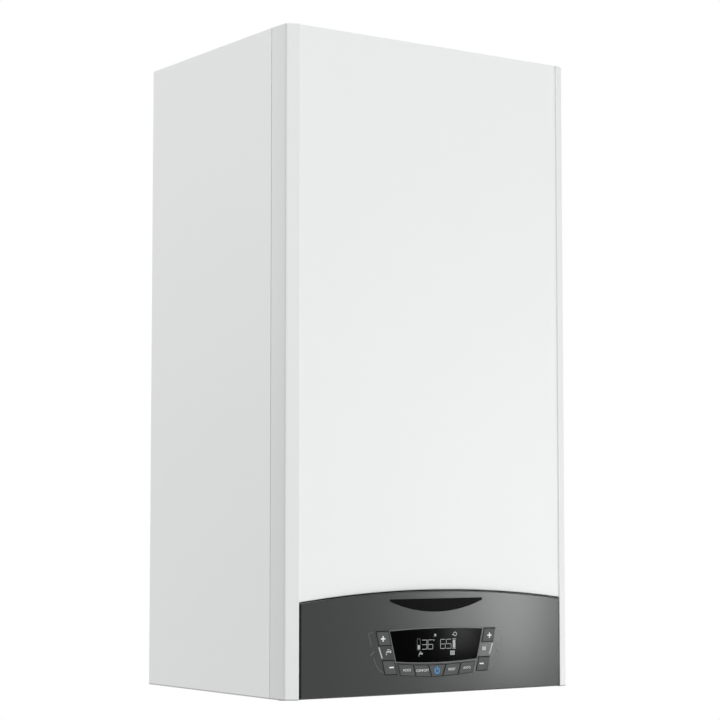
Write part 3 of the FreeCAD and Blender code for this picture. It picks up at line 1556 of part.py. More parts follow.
def plate_exchanger():
    """A brazed stack of plates behind the two castings."""
    body = new_body()
    half = d.plate_length / 2
    low = block_floor
    high = low + d.plate_height
    start = rectangle(sketch_on(body, "XZ_Plane", -(block_back_y + d.plate_sheet)), -half, half, low, high)
    sheet_pad = pad(body, start, d.plate_sheet)
    row = body.newObject("PartDesign::LinearPattern", "Row")
    row.Originals = [sheet_pad]
    row.Direction = (start, ["N_Axis"])
    row.Reversed = True
    bind(row, "Length", d.plate_pitch * (d.plate_count - 1))
    bind(row, "Occurrences", d.plate_count)
    body.Tip = row
    inset = d.plate_sheet * 2
    core = block(inset - half, half - inset, block_back_y + d.plate_sheet / 2,
                 block_back_y + d.plate_pitch * (d.plate_count - 1), low + inset, high - inset)
    keep(fuse([body, core]), "plate_exchanger")


def pump_housing():
    """The pump's volute with its suction neck, outlet port and vent boss."""
    radius = d.pump_radius
    depth = d.pump_depth
    corner = d.block_corner
    at = (pump_x, pipe_row_y + depth / 2, pump_z)
    profile = [(0, 0), (radius - corner, 0), (radius, corner), (radius, depth), (0, depth)]
    volute = turned(profile, at, FRONT)
    neck = rod(d.pump_port_radius * 1.3, d.pump_rise, (pump_x, pipe_row_y, block_top))
    ports = []
    for hand in (-1, 1):
        foot = (pump_x + hand * d.pump_port_offset, pipe_row_y, pump_z)
        ports.append(rod(d.pump_port_radius, port_z - pump_z, foot))
    cavity = rod(d.pump_cavity_radius, d.pump_cavity_depth, (pump_x, pump_front_y, pump_z), BACK)
    keep(cut(fuse([volute, neck] + ports), [cavity]), "pump_housing")


def pump_motor():
    """A canned motor on the volute, with a cooling shoulder, bleed plug and terminal box."""
    bore = d.shaft_radius + d.shaft_play
    drum = d.pump_motor_radius
    length = d.pump_motor_length
    corner = d.block_corner
    flange = d.pump_radius - 2
    profile = [(bore, 0), (flange, 0), (flange, corner), (drum, corner * 2), (drum, length - corner),
               (drum - corner, length), (corner * 2, length), (corner * 2, length + corner),
               (0, length + corner), (0, length / 2), (bore, length / 2)]
    drum_body = turned(profile, (pump_x, pump_front_y, pump_z), FRONT)
    half = drum / 2
    terminals = block(pump_x - half, pump_x + half, pump_front_y - length * 0.8,
                      pump_front_y - length * 0.3, pump_z + drum - corner, pump_z + drum + corner * 3)
    keep(fuse([drum_body, terminals]), "pump_motor")


def pump_impeller():
    reach = d.block_corner
    wheel = bladed_wheel(d.pump_wheel_radius, d.pump_wheel_eye, d.pump_wheel_width,
                         d.pump_wheel_blades, reach + d.pump_motor_length / 3)
    place(wheel, (pump_x, pump_front_y + reach, pump_z), FRONT)
    keep(wheel, "pump_impeller")


def air_vent():
    radius = d.vent_radius
    height = d.vent_height
    profile = [(0, 0), (radius * 0.7, 0), (radius * 0.7, height * 0.2), (radius, height * 0.25),
               (radius, height * 0.75), (radius * 0.5, height * 0.85), (radius * 0.5, height), (0, height)]
    keep(turned(profile, (pump_x - d.pump_port_offset, pipe_row_y, port_z)), "air_vent")


def diverter_motor():
    bore = d.spindle_radius + d.shaft_play
    radius = d.diverter_radius
    length = d.diverter_length
    profile = [(bore, 0), (radius * 0.75, 0), (radius * 0.75, length * 0.2), (radius, length * 0.25),
               (radius, length - 3), (radius - 3, length), (0, length), (0, length * 0.7),
               (bore, length * 0.7)]
    drum = turned(profile, (fill_x, block_front_y, block_mid_z), FRONT)
    socket = block(fill_x - radius / 2, fill_x + radius / 2, block_front_y - length * 0.8,
                   block_front_y - length * 0.4, block_mid_z, block_mid_z + radius + 6)
    keep(fuse([drum, cut(socket, [rod(radius - 1, length, (fill_x, block_front_y, block_mid_z), FRONT)])]),
         "diverter_motor")


def diverter_spindle():
    """The valve rod and its disc, which shuttle between two seats in the flow casting."""
    radius = d.spindle_radius
    disc = d.diverter_cavity - 2
    back = d.block_depth * 0.75 - d.diverter_stroke - 4
    profile = [(0, -d.diverter_length / 2), (radius, -d.diverter_length / 2), (radius, 6), (disc, 6),
               (disc, 12), (radius, 12), (radius, back), (0, back)]
    keep(turned(profile, (fill_x, block_front_y, block_mid_z), BACK), "diverter_spindle")


def safety_valve():
    """The relief valve on the return casting, with its outlet pointing down."""
    radius = d.safety_radius
    length = d.safety_length
    bore = d.shaft_radius + d.shaft_play
    profile = [(0, 0), (radius * 0.8, 0), (radius, length * 0.2), (radius, length), (bore, length),
               (bore, length * 0.6), (0, length * 0.6)]
    body = turned(profile, (safety_x, block_front_y, block_mid_z), FRONT)
    outlet_z = bottom + d.stub_lift
    outlet = rod(radius * 0.6, block_mid_z - outlet_z, (safety_x, safety_y, outlet_z))
    hollow = rod(bore, length * 0.4, (safety_x, block_front_y - length, block_mid_z), BACK)
    keep(cut(fuse([body, outlet]), [hollow]), "safety_valve")


def fluted_knob(radius, length, flutes, shaft_radius, shaft_length):
    """A knob on a shaft, with flutes cut round its rim for grip."""
    crown = length / 6
    profile = [(0, -shaft_length), (shaft_radius, -shaft_length), (shaft_radius, 0), (radius, 0),
               (radius, length - crown), (radius - crown, length), (0, length)]
    body = turned(profile, (0, 0, 0))
    flute = circle(sketch_on(body, "XY_Plane", length), (radius + crown / 2, 0), crown)
    first = pocket(body, flute, length)
    ring = body.newObject("PartDesign::PolarPattern", "Ring")
    ring.Originals = [first]
    ring.Axis = (next(part for part in body.Origin.OriginFeatures if part.Role == "Z_Axis"), [""])
    ring.Angle = 360
    bind(ring, "Occurrences", flutes)
    body.Tip = ring
    return body


def safety_valve_knob():
    knob = fluted_knob(d.safety_knob_radius, d.safety_knob_length, d.safety_knob_flutes,
                       d.shaft_radius, d.safety_length * 0.3)
    place(knob, (safety_x, block_front_y - d.safety_length, block_mid_z), FRONT)
    keep(knob, "safety_valve_knob")


def filling_knob():
    low = bottom + d.stub_lift + d.fill_knob_length
    knob = fluted_knob(d.fill_knob_radius, d.fill_knob_length, d.fill_knob_flutes,
                       d.fill_shaft_radius, block_floor - low + d.block_corner)
    place(knob, (fill_x, pipe_row_y, low), DOWN)
    keep(knob, "filling_knob")


def build_casing():
    rear_frame()
    side_panel("left_side_panel", -1)
    side_panel("right_side_panel", 1)
    front_cover()
    cover_screws()
    bottom_bracket()


def build_control_box():
    fascia()
    badge_plate()
    display_window()
    keys()
    control_box()
    control_board()
    control_box_cover()


def build_air_box():
    air_box()
    air_box_lid()
    lid_seal()
    lid_screws()
    sight_glass()
    flue_spigot()
    air_inlet_caps()


def build_combustion():
    burner()
    combustion_chamber()
    insulation_boards()
    electrodes()
    gas_manifold()
    heat_exchanger()
    flue_hood()
    fan_housing()
    fan_impeller()
    fan_motor()
    pressure_switch()
    sensing_hoses()


def build_hydraulics():
    expansion_vessel()
    vessel_pipe()
    water_connections()
    gas_inlet()
    gas_valve()
    gas_pipe()
    flow_pipe()
    return_pipe()
    return_block()
    flow_block()
    plate_exchanger()
    pump_housing()
    pump_motor()
    pump_impeller()
    air_vent()
    diverter_motor()
    diverter_spindle()
    safety_valve()
    safety_valve_knob()
    filling_knob()


def write_parts():
    """Check every object of the document, then write each piece to its own file."""
    doc.recompute()
    for thing in doc.Objects:
        if "Invalid" in thing.State or "Error" in thing.State:
            raise RuntimeError(f"{thing.Name} ({thing.Label}) did not build: {thing.State}")
    os.makedirs("parts", exist_ok=True)
    for piece in nodes:
        if piece.Shape.isNull() or not piece.Shape.isValid():
            raise RuntimeError(f"{piece.Label} has no valid shape")
        piece.Shape.exportStep(f"parts/{piece.Label}.step")


build_casing()
build_control_box()
build_air_box()
build_combustion()
build_hydraulics()
write_parts()
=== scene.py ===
import json
import math

import bpy
from bpy.props import FloatProperty, FloatVectorProperty, PointerProperty, StringProperty
from bpy.types import Node, NodeSocket, Operator, Panel, PropertyGroup
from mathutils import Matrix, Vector


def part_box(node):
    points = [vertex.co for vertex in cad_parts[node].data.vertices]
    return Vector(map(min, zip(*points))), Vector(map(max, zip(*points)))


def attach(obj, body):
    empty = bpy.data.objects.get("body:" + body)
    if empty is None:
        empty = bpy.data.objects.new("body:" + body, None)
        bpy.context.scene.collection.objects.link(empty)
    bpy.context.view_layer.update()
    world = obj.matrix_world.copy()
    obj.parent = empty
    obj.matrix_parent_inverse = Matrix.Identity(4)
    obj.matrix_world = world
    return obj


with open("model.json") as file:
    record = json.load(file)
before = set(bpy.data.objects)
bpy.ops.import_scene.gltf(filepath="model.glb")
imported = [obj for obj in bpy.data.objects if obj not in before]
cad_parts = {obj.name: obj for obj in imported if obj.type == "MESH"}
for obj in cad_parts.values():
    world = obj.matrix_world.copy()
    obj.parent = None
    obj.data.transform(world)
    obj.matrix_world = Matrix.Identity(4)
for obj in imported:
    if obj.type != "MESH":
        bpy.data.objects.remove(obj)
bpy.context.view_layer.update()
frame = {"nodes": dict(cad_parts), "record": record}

bl_info = {
    "name": "Gas boiler dressing",
    "version": (1, 0, 0),
    "blender": (4, 5, 0),
    "location": "View3D > Sidebar > Boiler",
    "description": "Finishes, printed marks, fittings and studio for a wall-hung gas boiler",
    "category": "Object",
}

MM = 0.001
WELD = 0.001 * MM
CASE_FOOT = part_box("front_cover")[0].z
WINDOW_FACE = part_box("display_window")[0].y


# Sizes of the solids that their boxes don't give

PIPE_RADIUS = 9 * MM
SMALL_PIPE_RADIUS = 6 * MM
SCREW_HEAD_RADIUS = 3.2 * MM
# The return riser's middle lies this far behind the heat exchanger's front.
RISER_DEPTH = 19 * MM
# The fascia's top rises this far above its corners, and its middle stands this far before its ends.
FASCIA_RISE = 11.6 * MM
FASCIA_BULGE = 3.0 * MM


# Sizes and colours that a user may change

def length(name, description, millimetres):
    """A length property with its default in millimetres."""
    return FloatProperty(
        name=name, description=description, default=millimetres * MM, unit="LENGTH", precision=6)


def colour(name, description, hex_colour):
    """A colour property that holds an sRGB hex value."""
    return StringProperty(name=name, description=description, default=hex_colour)


class BoilerColours(PropertyGroup):
    """Colours of the pieces that show from the front."""

    enamel: colour("Casing", "Powder coat of the casing", "#F2F3F3")
    graphite: colour("Fascia", "Satin moulding of the control fascia", "#3E4140")
    key: colour("Keys", "Moulded push keys", "#424544")
    window: colour("Window", "Display window", "#020203")
    ink: colour("Ink", "Printed legends on the keys", "#E9EBEA")
    icon_ink: colour("Icon ink", "Printed icons and lines between the outer keys", "#C3C6C5")
    line_ink: colour("Line ink", "Thin printed lines round the keys", "#646766")
    segment: colour("Segments", "Lit display segments", "#B4BABA")
    power: colour("Power light", "Lit symbol on the power key", "#2E8FD0")


class BoilerMarks(PropertyGroup):
    """Sizes of the printed and lit marks and of the dark rubber round the keys, which also stands as painted
    shadow of the gaps.
    """

    ink_depth: length("Ink depth", "How far ink stands on a surface", 0.03)
    digit_height: length("Digit height", "Height of a display digit", 10.8)
    digit_width: length("Digit width", "Width of a display digit", 7.4)
    segment_width: length("Segment width", "Width of one lit bar", 0.54)
    legend_height: length("Legend height", "Size of the key words", 3.8)
    skirt_depth: length("Skirt depth", "Where a key's outline is taken, behind its rounded edge", 1.0)
    skirt_clearance: length("Skirt clearance", "Room between a key and its rubber skirt", 0.25)
    skirt_width: length("Skirt width", "Width of the rubber skirt round an up or down key", 0.9)
    row_skirt_width: length("Row skirt width", "Width of the skirt round a key of the lower row", 0.5)


class BoilerFittings(PropertyGroup):
    """Sizes of the small fittings on the pipes, the pump, the vessel and the fascia."""

    nut_ratio: FloatProperty(
        name="Nut ratio", description="Corner radius of a union nut over its pipe's radius", default=1.7)
    nut_height: length("Nut height", "Height of a union nut", 14)
    grommet_thickness: length("Grommet", "Thickness of the rubber rings", 2.4)
    baffle_depth: length("Baffle depth", "From the fascia's front to the baffle", 30)
    baffle_sheet: length("Baffle sheet", "Thickness of the baffle", 1.5)
    rib_width: length("Rib width", "Width of a rib pressed into the expansion vessel", 8)
    rib_height: length("Rib height", "How far a rib stands out of the expansion vessel", 1.3)
    plug_radius: length("Bleed plug", "Radius of the pump's bleed plug", 11)
    plug_height: length("Plug height", "How far the bleed plug stands out", 2.5)


class BoilerStage(PropertyGroup):
    """Camera and floor of the studio."""

    lens: FloatProperty(
        name="Lens", description="Focal length on a 36 mm sensor", default=104.02, unit="CAMERA")
    shift: FloatProperty(
        name="Rise", description="Vertical shift of the lens", default=0.02)
    eye: FloatVectorProperty(
        name="Eye", description="Where the camera stands", size=3, unit="LENGTH",
        default=(-1.4199, -2.2261, -0.5165))
    turn: FloatProperty(
        name="Turn", description="Heading of the camera, to the right of straight on",
        default=math.radians(34.563), subtype="ANGLE")
    tilt: FloatProperty(
        name="Tilt", description="How far the camera looks up", default=math.radians(4.3), subtype="ANGLE")
    floor_drop: FloatProperty(
        name="Floor", description="Depth of the floor below the casing", default=1.0, unit="LENGTH")


# Colours and shader nodes

def linear(hex_colour):
    """Turn an sRGB hex value into linear red, green, blue and full alpha."""
    parts = []
    for place in (1, 3, 5):
        part = int(hex_colour[place:place + 2], 16) / 255
        parts.append(part / 12.92 if part <= 0.04045 else ((part + 0.055) / 1.055) ** 2.4)
    return parts + [1.0]


def dimmed(hex_colour, share):
    """The same linear values with only a share of their light."""
    return [part * share for part in linear(hex_colour)[:3]] + [1.0]


def per(millimetres):
    """Texture scale at which one feature is this many millimetres long."""
    return 1 / (millimetres * MM)


def add(tree, kind, inputs=None, stops=(), **settings):
    """Add one node with its settings, its ramp stops and its values or links.

    A node among the inputs is linked by its first output.
    """
    node = tree.nodes.new("ShaderNode" + kind)
    for name, value in settings.items():
        setattr(node, name, value)
    for position, _ in stops[1:-1]:
        node.color_ramp.elements.new(position)
    for index, (position, tint) in enumerate(stops):
        node.color_ramp.elements[index].position = position
        node.color_ramp.elements[index].color = tint
    for name, value in (inputs or {}).items():
        if isinstance(value, Node):
            value = value.outputs[0]
        if isinstance(value, NodeSocket):
            tree.links.new(value, node.inputs[name])
        else:
            node.inputs[name].default_value = value
    return node


def blank(name):
    """A new empty material: the material, its tree and its object coordinates."""
    material = bpy.data.materials.new(name)
    material.use_nodes = True
    tree = material.node_tree
    tree.nodes.clear()
    return material, tree, add(tree, "TexCoord").outputs["Object"]


def surface(material, inputs):
    """Close a material with one principled surface."""
    shader = add(material.node_tree, "BsdfPrincipled", inputs)
    add(material.node_tree, "OutputMaterial", {"Surface": shader})
    return material


# Finishes shared by several materials, with grain and depth in millimetres

def coated(name, low, high, peel, roughness, depth):
    """Cured paint on metal: two close tones in soft clouds and a fine orange peel."""
    material, tree, place = blank(name)
    clouds = add(tree, "TexNoise", {"Vector": place, "Scale": per(120), "Detail": 3.0})
    tone = add(tree, "ValToRGB", {"Fac": clouds}, stops=((0.35, linear(low)), (0.65, linear(high))))
    skin = add(tree, "TexNoise", {"Vector": place, "Scale": per(peel), "Detail": 2.0})
    sheen = add(tree, "MapRange", {"Value": skin, "To Min": roughness - 0.04, "To Max": roughness + 0.04})
    bump = add(tree, "Bump", {"Height": skin, "Strength": 0.25, "Distance": depth * MM})
    return surface(material, {"Base Color": tone, "Roughness": sheen, "Specular IOR Level": 0.4,
                              "Normal": bump})


def moulded(name, tint, grain, roughness, depth=0.03, gloss=0.5):
    """Injection-moulded plastic: one colour with the spark-eroded grain of its mould."""
    material, tree, place = blank(name)
    grit = add(tree, "TexNoise", {"Vector": place, "Scale": per(grain), "Detail": 4.0})
    tone = add(tree, "ValToRGB", {"Fac": grit}, stops=((0.3, dimmed(tint, 0.9)), (0.7, linear(tint))))
    sheen = add(tree, "MapRange", {"Value": grit, "To Min": roughness - 0.05, "To Max": roughness + 0.05})
    bump = add(tree, "Bump", {"Height": grit, "Strength": 0.3, "Distance": depth * MM})
    return surface(material, {"Base Color": tone, "Roughness": sheen, "Specular IOR Level": gloss,
                              "Normal": bump})


def cast(name, low, high, grain, roughness, metallic, depth):
    """A casting: mottled tone and the grain that the mould's sand or die leaves."""
    material, tree, place = blank(name)
    mottle = add(tree, "TexNoise", {"Vector": place, "Scale": per(18), "Detail": 5.0})
    tone = add(tree, "ValToRGB", {"Fac": mottle}, stops=((0.3, linear(low)), (0.7, linear(high))))
    skin = add(tree, "TexNoise", {"Vector": place, "Scale": per(grain), "Detail": 3.0})
    sheen = add(tree, "MapRange", {"Value": mottle, "To Min": roughness - 0.08, "To Max": roughness + 0.08})
    bump = add(tree, "Bump", {"Height": skin, "Strength": 0.5, "Distance": depth * MM})
    return surface(material, {"Base Color": tone, "Metallic": metallic, "Roughness": sheen,
                              "Normal": bump})


def shaded(material, axis, low, high, stops):
    """Paint shade into a finish: darken it by a ramp of greys between two places; X is counted to either
    side.
    """
    tree = material.node_tree
    shader = tree.nodes["Principled BSDF"]
    paint = shader.inputs["Base Color"].links[0].from_socket
    spot = add(tree, "SeparateXYZ", {"Vector": tree.nodes["Texture Coordinate"].outputs["Object"]})
    place = spot.outputs[axis]
    if axis == "X":
        place = add(tree, "Math", {0: place}, operation="ABSOLUTE")
    span = add(tree, "MapRange", {"Value": place, "From Min": low, "From Max": high})
    greys = [(share, linear(grey)) for share, grey in stops]
    shade = add(tree, "ValToRGB", {"Fac": span}, stops=greys)
    paint_with_shade = add(tree, "VectorMath", {0: paint, 1: shade}, operation="MULTIPLY")
    tree.links.new(paint_with_shade.outputs["Vector"], shader.inputs["Base Color"])


# Materials of the casing and the fascia

def white_enamel(name="powder_coated_steel"):
    """Powder-coated sheet steel: an even semi-gloss white with an orange peel of about 1.5 mm.

    The lowest edge is painted darker: a painted shade that stands in for the sheet rolling under there.
    """
    white = bpy.context.scene.boiler_colours.enamel
    hem_shade_band = 1.6 * MM
    material = coated(name, white, white, peel=1.5, roughness=0.42, depth=0.02)
    # painted shade: the lowest 1.6 mm of the casing is darkened
    shaded(material, "Z", CASE_FOOT, CASE_FOOT + hem_shade_band,
           ((0.0, "#C4C4C4"), (0.7, "#C4C4C4"), (1.0, "#FFFFFF")))
    return material


def cover_enamel():
    """The same powder coat on the pulled-off cover, with painted shade: greyer returns, darkest at the
    fold's crease.
    """
    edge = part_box("front_cover")[1].x
    fold_shade_band = 2.2 * MM
    material = white_enamel("powder_coated_cover")
    # painted shade on the returns, darkest at the crease of the fold
    shaded(material, "X", edge - fold_shade_band, edge,
           ((0.0, "#FFFFFF"), (0.18, "#E4E4E4"), (0.30, "#E4E4E4"), (0.40, "#EFEFEF"), (1.0, "#F3F3F3")))
    return material


def graphite_plastic():
    """Satin ABS: smooth graphite that shows the lamps as soft streaks; grain drawn at 0.5 mm to show.

    Its ends and its foot are painted darker: a painted shade for the gap round the fascia.
    """
    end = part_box("fascia")[1].x
    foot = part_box("fascia")[0].z
    end_shade_band, foot_shade_band = 1.6 * MM, 1.5 * MM
    grey = bpy.context.scene.boiler_colours.graphite
    material = moulded("satin_abs", grey, grain=0.5, roughness=0.21, depth=0.004)
    # painted shade: the fascia's ends and foot are darkened for the gap round it
    shaded(material, "X", end - end_shade_band, end, ((0.0, "#FFFFFF"), (0.3, "#6E6E6E"), (1.0, "#5A5A5A")))
    shaded(material, "Z", foot, foot + foot_shade_band, ((0.0, "#6A6A6A"), (0.7, "#6A6A6A"), (1.0, "#FFFFFF")))
    return material


def key_plastic():
    """Grained ABS: slightly paler and duller than the fascia; grain drawn at 0.4 mm to show."""
    grey = bpy.context.scene.boiler_colours.key
    return moulded("grained_abs", grey, grain=0.4, roughness=0.42, depth=0.01)


def black_gloss():
    """Smoked acrylic with an anti-glare coat: near black and mirror smooth, with faint wiping marks."""
    material, tree, place = blank("smoked_acrylic")
    wipes = add(tree, "Mapping", {"Vector": place, "Scale": (0.3, 1.0, 1.0)})
    smear = add(tree, "TexNoise", {"Vector": wipes, "Scale": per(9), "Detail": 3.0})
    sheen = add(tree, "MapRange", {"Value": smear, "To Min": 0.06, "To Max": 0.12})
    return surface(material, {"Base Color": linear(bpy.context.scene.boiler_colours.window),
                              "Roughness": sheen, "Specular IOR Level": 0.05})


def key_rubber_gap_shade():
    """Silicone rubber: matt black lip round a key, partly a rubber skirt and partly a painted shadow line of
    the gap.
    """
    return moulded("black_rubber_gap_shade", "#0D0D0E", grain=0.5, roughness=0.75, depth=0.01, gloss=0.2)


def satin_black():
    """Dulled acrylic: the badge plate's even black, which keeps the lamps' reflection faint."""
    return moulded("satin_acrylic", "#080809", grain=0.6, roughness=0.27, depth=0.004, gloss=0.04)


def black_plastic():
    """Filled polypropylene: matt black with a coarse moulded grain of about 0.8 mm."""
    return moulded("black_polypropylene", "#1B1C1D", grain=0.8, roughness=0.55, depth=0.05)


def galvanised_steel():
    """Hot-dip zinc: crystals about 14 mm across that each turn the light a little differently."""
    material, tree, place = blank("galvanised_steel")
    crystals = add(tree, "TexVoronoi", {"Vector": place, "Scale": per(14)})
    crystal = add(tree, "SeparateColor", {"Color": crystals.outputs["Color"]})
    tone = add(tree, "ValToRGB", {"Fac": crystal.outputs["Red"]},
               stops=((0.0, linear("#A9AEB1")), (1.0, linear("#C6CACC"))))
    sheen = add(tree, "MapRange", {"Value": crystal.outputs["Green"], "To Min": 0.34, "To Max": 0.52})
    dust = add(tree, "TexNoise", {"Vector": place, "Scale": per(2), "Detail": 3.0})
    bump = add(tree, "Bump", {"Height": dust, "Strength": 0.2, "Distance": 0.03 * MM})
    return surface(material, {"Base Color": tone, "Metallic": 0.85, "Roughness": sheen, "Normal": bump})


def zinc_screw():
    """Bright zinc plate: pale metal, slightly clouded."""
    return cast("bright_zinc", "#B9BBB6", "#D3D4CF", grain=0.5, roughness=0.3, metallic=1.0, depth=0.01)


# Materials of the inner works

def circuit_board():
    """Glass-epoxy board: green solder mask over paler copper tracks about 2.5 mm apart."""
    material, tree, place = blank("solder_mask")
    upright = add(tree, "Mapping", {"Vector": place, "Rotation": (math.pi / 2, 0.0, 0.0)})
    tracks = add(tree, "TexBrick", {
        "Vector": upright, "Scale": per(100), "Color1": linear("#14532F"), "Color2": linear("#185C35"),
        "Mortar": linear("#3B8A58"), "Mortar Size": 0.004, "Brick Width": 0.09, "Row Height": 0.025})
    return surface(material, {"Base Color": tracks, "Roughness": 0.35})


def foam():
    """Closed-cell foam strip: dark, dull and pitted with cells of about 1 mm."""
    material, tree, place = blank("closed_cell_foam")
    cells = add(tree, "TexVoronoi", {"Vector": place, "Scale": per(1)})
    tone = add(tree, "ValToRGB", {"Fac": cells}, stops=((0.0, linear("#19191A")), (0.7, linear("#2A2A2B"))))
    bump = add(tree, "Bump", {"Height": cells, "Strength": 0.6, "Distance": 0.2 * MM})
    return surface(material, {"Base Color": tone, "Roughness": 0.95, "Normal": bump})


def sight_glass():
    """Heat-proof glass: clear and polished, with a slight haze near the flame."""
    material, tree, place = blank("borosilicate_glass")
    haze = add(tree, "TexNoise", {"Vector": place, "Scale": per(6), "Detail": 2.0})
    sheen = add(tree, "MapRange", {"Value": haze, "To Min": 0.02, "To Max": 0.1})
    return surface(material, {"Base Color": linear("#E6F0EE"), "Roughness": sheen, "IOR": 1.47,
                              "Transmission Weight": 1.0})


def aluminium():
    """Die-cast aluminium: pale grey metal with a fine blasted skin."""
    return cast("die_cast_aluminium", "#A4A8AA", "#BFC2C4", grain=0.9, roughness=0.45, metallic=0.9,
                depth=0.05)


def copper():
    """Drawn copper tube: warm metal with browner oxide in patches of a few centimetres."""
    material, tree, place = blank("drawn_copper")
    oxide = add(tree, "TexNoise", {"Vector": place, "Scale": per(35), "Detail": 6.0, "Roughness": 0.65})
    tone = add(tree, "ValToRGB", {"Fac": oxide}, stops=((0.35, linear("#D08A63")), (0.7, linear("#9C5A3E"))))
    sheen = add(tree, "MapRange", {"Value": oxide, "To Min": 0.24, "To Max": 0.5})
    return surface(material, {"Base Color": tone, "Metallic": 1.0, "Roughness": sheen})


def brass(name="stamped_brass", roughness=0.4):
    """Hot-stamped brass: yellow metal with the dull grain of the die."""
    return cast(name, "#A8864A", "#CFAF6B", grain=0.7, roughness=roughness, metallic=1.0, depth=0.04)


def threaded_brass():
    """Threaded brass: the same metal, cut brighter, with a thread of 1.8 mm pitch below the collars."""
    pitch = 1.8 * MM
    thread_top = CASE_FOOT + 18 * MM
    material = brass("threaded_brass", roughness=0.36)
    tree = material.node_tree
    shader = tree.nodes["Principled BSDF"]
    place = tree.nodes["Texture Coordinate"].outputs["Object"]
    skin = shader.inputs["Normal"].links[0].from_socket
    turns = add(tree, "TexWave", {"Vector": place, "Scale": math.pi / (10 * pitch), "Distortion": 0.0},
                bands_direction="Z", wave_profile="TRI")
    height = add(tree, "SeparateXYZ", {"Vector": place}).outputs["Z"]
    zone = add(tree, "Math", {0: height, 1: thread_top}, operation="LESS_THAN")
    depth = add(tree, "Math", {0: turns.outputs["Fac"], 1: zone}, operation="MULTIPLY")
    bump = add(tree, "Bump", {"Height": depth, "Strength": 1.0, "Distance": pitch / 2, "Normal": skin})
    tree.links.new(bump.outputs["Normal"], shader.inputs["Normal"])
    return material


def stainless_steel():
    """Rolled stainless sheet: a brushed grain that runs across the boiler."""
    material, tree, place = blank("brushed_stainless")
    brushed = add(tree, "Mapping", {"Vector": place, "Scale": (0.04, 1.0, 1.0)})
    grain = add(tree, "TexNoise", {"Vector": brushed, "Scale": per(0.8), "Detail": 3.0})
    tone = add(tree, "ValToRGB", {"Fac": grain}, stops=((0.3, linear("#9A9C9C")), (0.7, linear("#B9BBBB"))))
    sheen = add(tree, "MapRange", {"Value": grain, "To Min": 0.25, "To Max": 0.42})
    bump = add(tree, "Bump", {"Height": grain, "Strength": 0.2, "Distance": 0.02 * MM})
    return surface(material, {"Base Color": tone, "Metallic": 1.0, "Roughness": sheen, "Normal": bump})


def ceramic_fibre():
    """Felted fibre board: off-white, dull and matted."""
    return cast("ceramic_fibre_board", "#D5CFC3", "#EAE6DC", grain=1.6, roughness=0.95, metallic=0.0,
                depth=0.4)


def white_ceramic():
    """Glazed alumina: glossy warm white."""
    return coated("glazed_alumina", "#E7E4DB", "#F1EFE8", peel=4.0, roughness=0.14, depth=0.01)


def vessel_red():
    """Stove enamel on pressed steel: full red with a soft orange peel."""
    return coated("red_stove_enamel", "#A01913", "#AE211A", peel=2.5, roughness=0.32, depth=0.04)


def pump_grey():
    """Painted castings: blue-grey paint over a cast skin."""
    return cast("painted_casting", "#3F4349", "#4D5158", grain=1.2, roughness=0.5, metallic=0.0, depth=0.12)


def cast_black():
    """Dipped cast iron: thin black coat over a sandy skin."""
    return cast("black_cast_iron", "#161617", "#242425", grain=1.5, roughness=0.5, metallic=0.0, depth=0.25)


def silicone():
    """Silicone hose: brick red, soft sheen."""
    return moulded("silicone_hose", "#A5432D", grain=1.2, roughness=0.5, depth=0.02)


def red_plastic():
    """Moulded nylon cap in signal red."""
    return moulded("red_nylon", "#B3160F", grain=0.6, roughness=0.4)


def blue_plastic():
    """Moulded nylon cap in blue."""
    return moulded("blue_nylon", "#1B3F86", grain=0.6, roughness=0.4)


FINISHES = (
    white_enamel, galvanised_steel, graphite_plastic, black_gloss, key_plastic, black_plastic,
    circuit_board, zinc_screw, foam, sight_glass, aluminium, copper, brass, stainless_steel,
    ceramic_fibre, white_ceramic, vessel_red, pump_grey, cast_black, silicone, red_plastic,
    blue_plastic,
)


# Materials of the marks

def ink(name, tint):
    """Screen ink: matt, with the slight unevenness that the mesh leaves about every 0.3 mm."""
    material, tree, place = blank(name)
    mesh = add(tree, "TexNoise", {"Vector": place, "Scale": per(0.3), "Detail": 1.0})
    tone = add(tree, "ValToRGB", {"Fac": mesh}, stops=((0.3, dimmed(tint, 0.93)), (0.6, linear(tint))))
    return surface(material, {"Base Color": tone, "Roughness": 0.6})


def lit(name, tint, strength):
    """A lit mark behind smoked plastic: even light that fades a little towards its grain."""
    material, tree, place = blank(name)
    grain = add(tree, "TexNoise", {"Vector": place, "Scale": per(0.4), "Detail": 1.0})
    tone = add(tree, "ValToRGB", {"Fac": grain}, stops=((0.3, dimmed(tint, 0.9)), (0.6, linear(tint))))
    return surface(material, {"Base Color": linear("#101112"), "Roughness": 0.4, "Emission Color": tone,
                              "Emission Strength": strength})


def shadowed(name, low, high):
    """Metal in the shade of a recess: the same metal, darker and duller."""
    return cast(name, low, high, grain=0.5, roughness=0.6, metallic=0.6, depth=0.01)


# Modelling steps

def drop_selection():
    """Make sure that the next operator acts on its own new piece alone."""
    bpy.ops.object.select_all(action="DESELECT")


def pick(*pieces):
    """Select these pieces alone and make the first one active."""
    drop_selection()
    for piece in pieces:
        piece.select_set(True)
    bpy.context.view_layer.objects.active = pieces[0]


def edit_whole():
    """Go into edit mode with all of the active piece selected."""
    bpy.ops.object.mode_set(mode="EDIT")
    bpy.ops.mesh.select_all(action="SELECT")


def leave_edit():
    """Go back to object mode."""
    bpy.ops.object.mode_set(mode="OBJECT")


def choose(piece, kind, wanted):
    """Select the edges or faces that a test picks, and go into edit mode."""
    bpy.ops.object.mode_set(mode="EDIT")
    bpy.ops.mesh.select_mode(type=kind)
    bpy.ops.mesh.select_all(action="DESELECT")
    leave_edit()
    for part in piece.data.edges if kind == "EDGE" else piece.data.polygons:
        part.select = wanted(part)
    bpy.ops.object.mode_set(mode="EDIT")


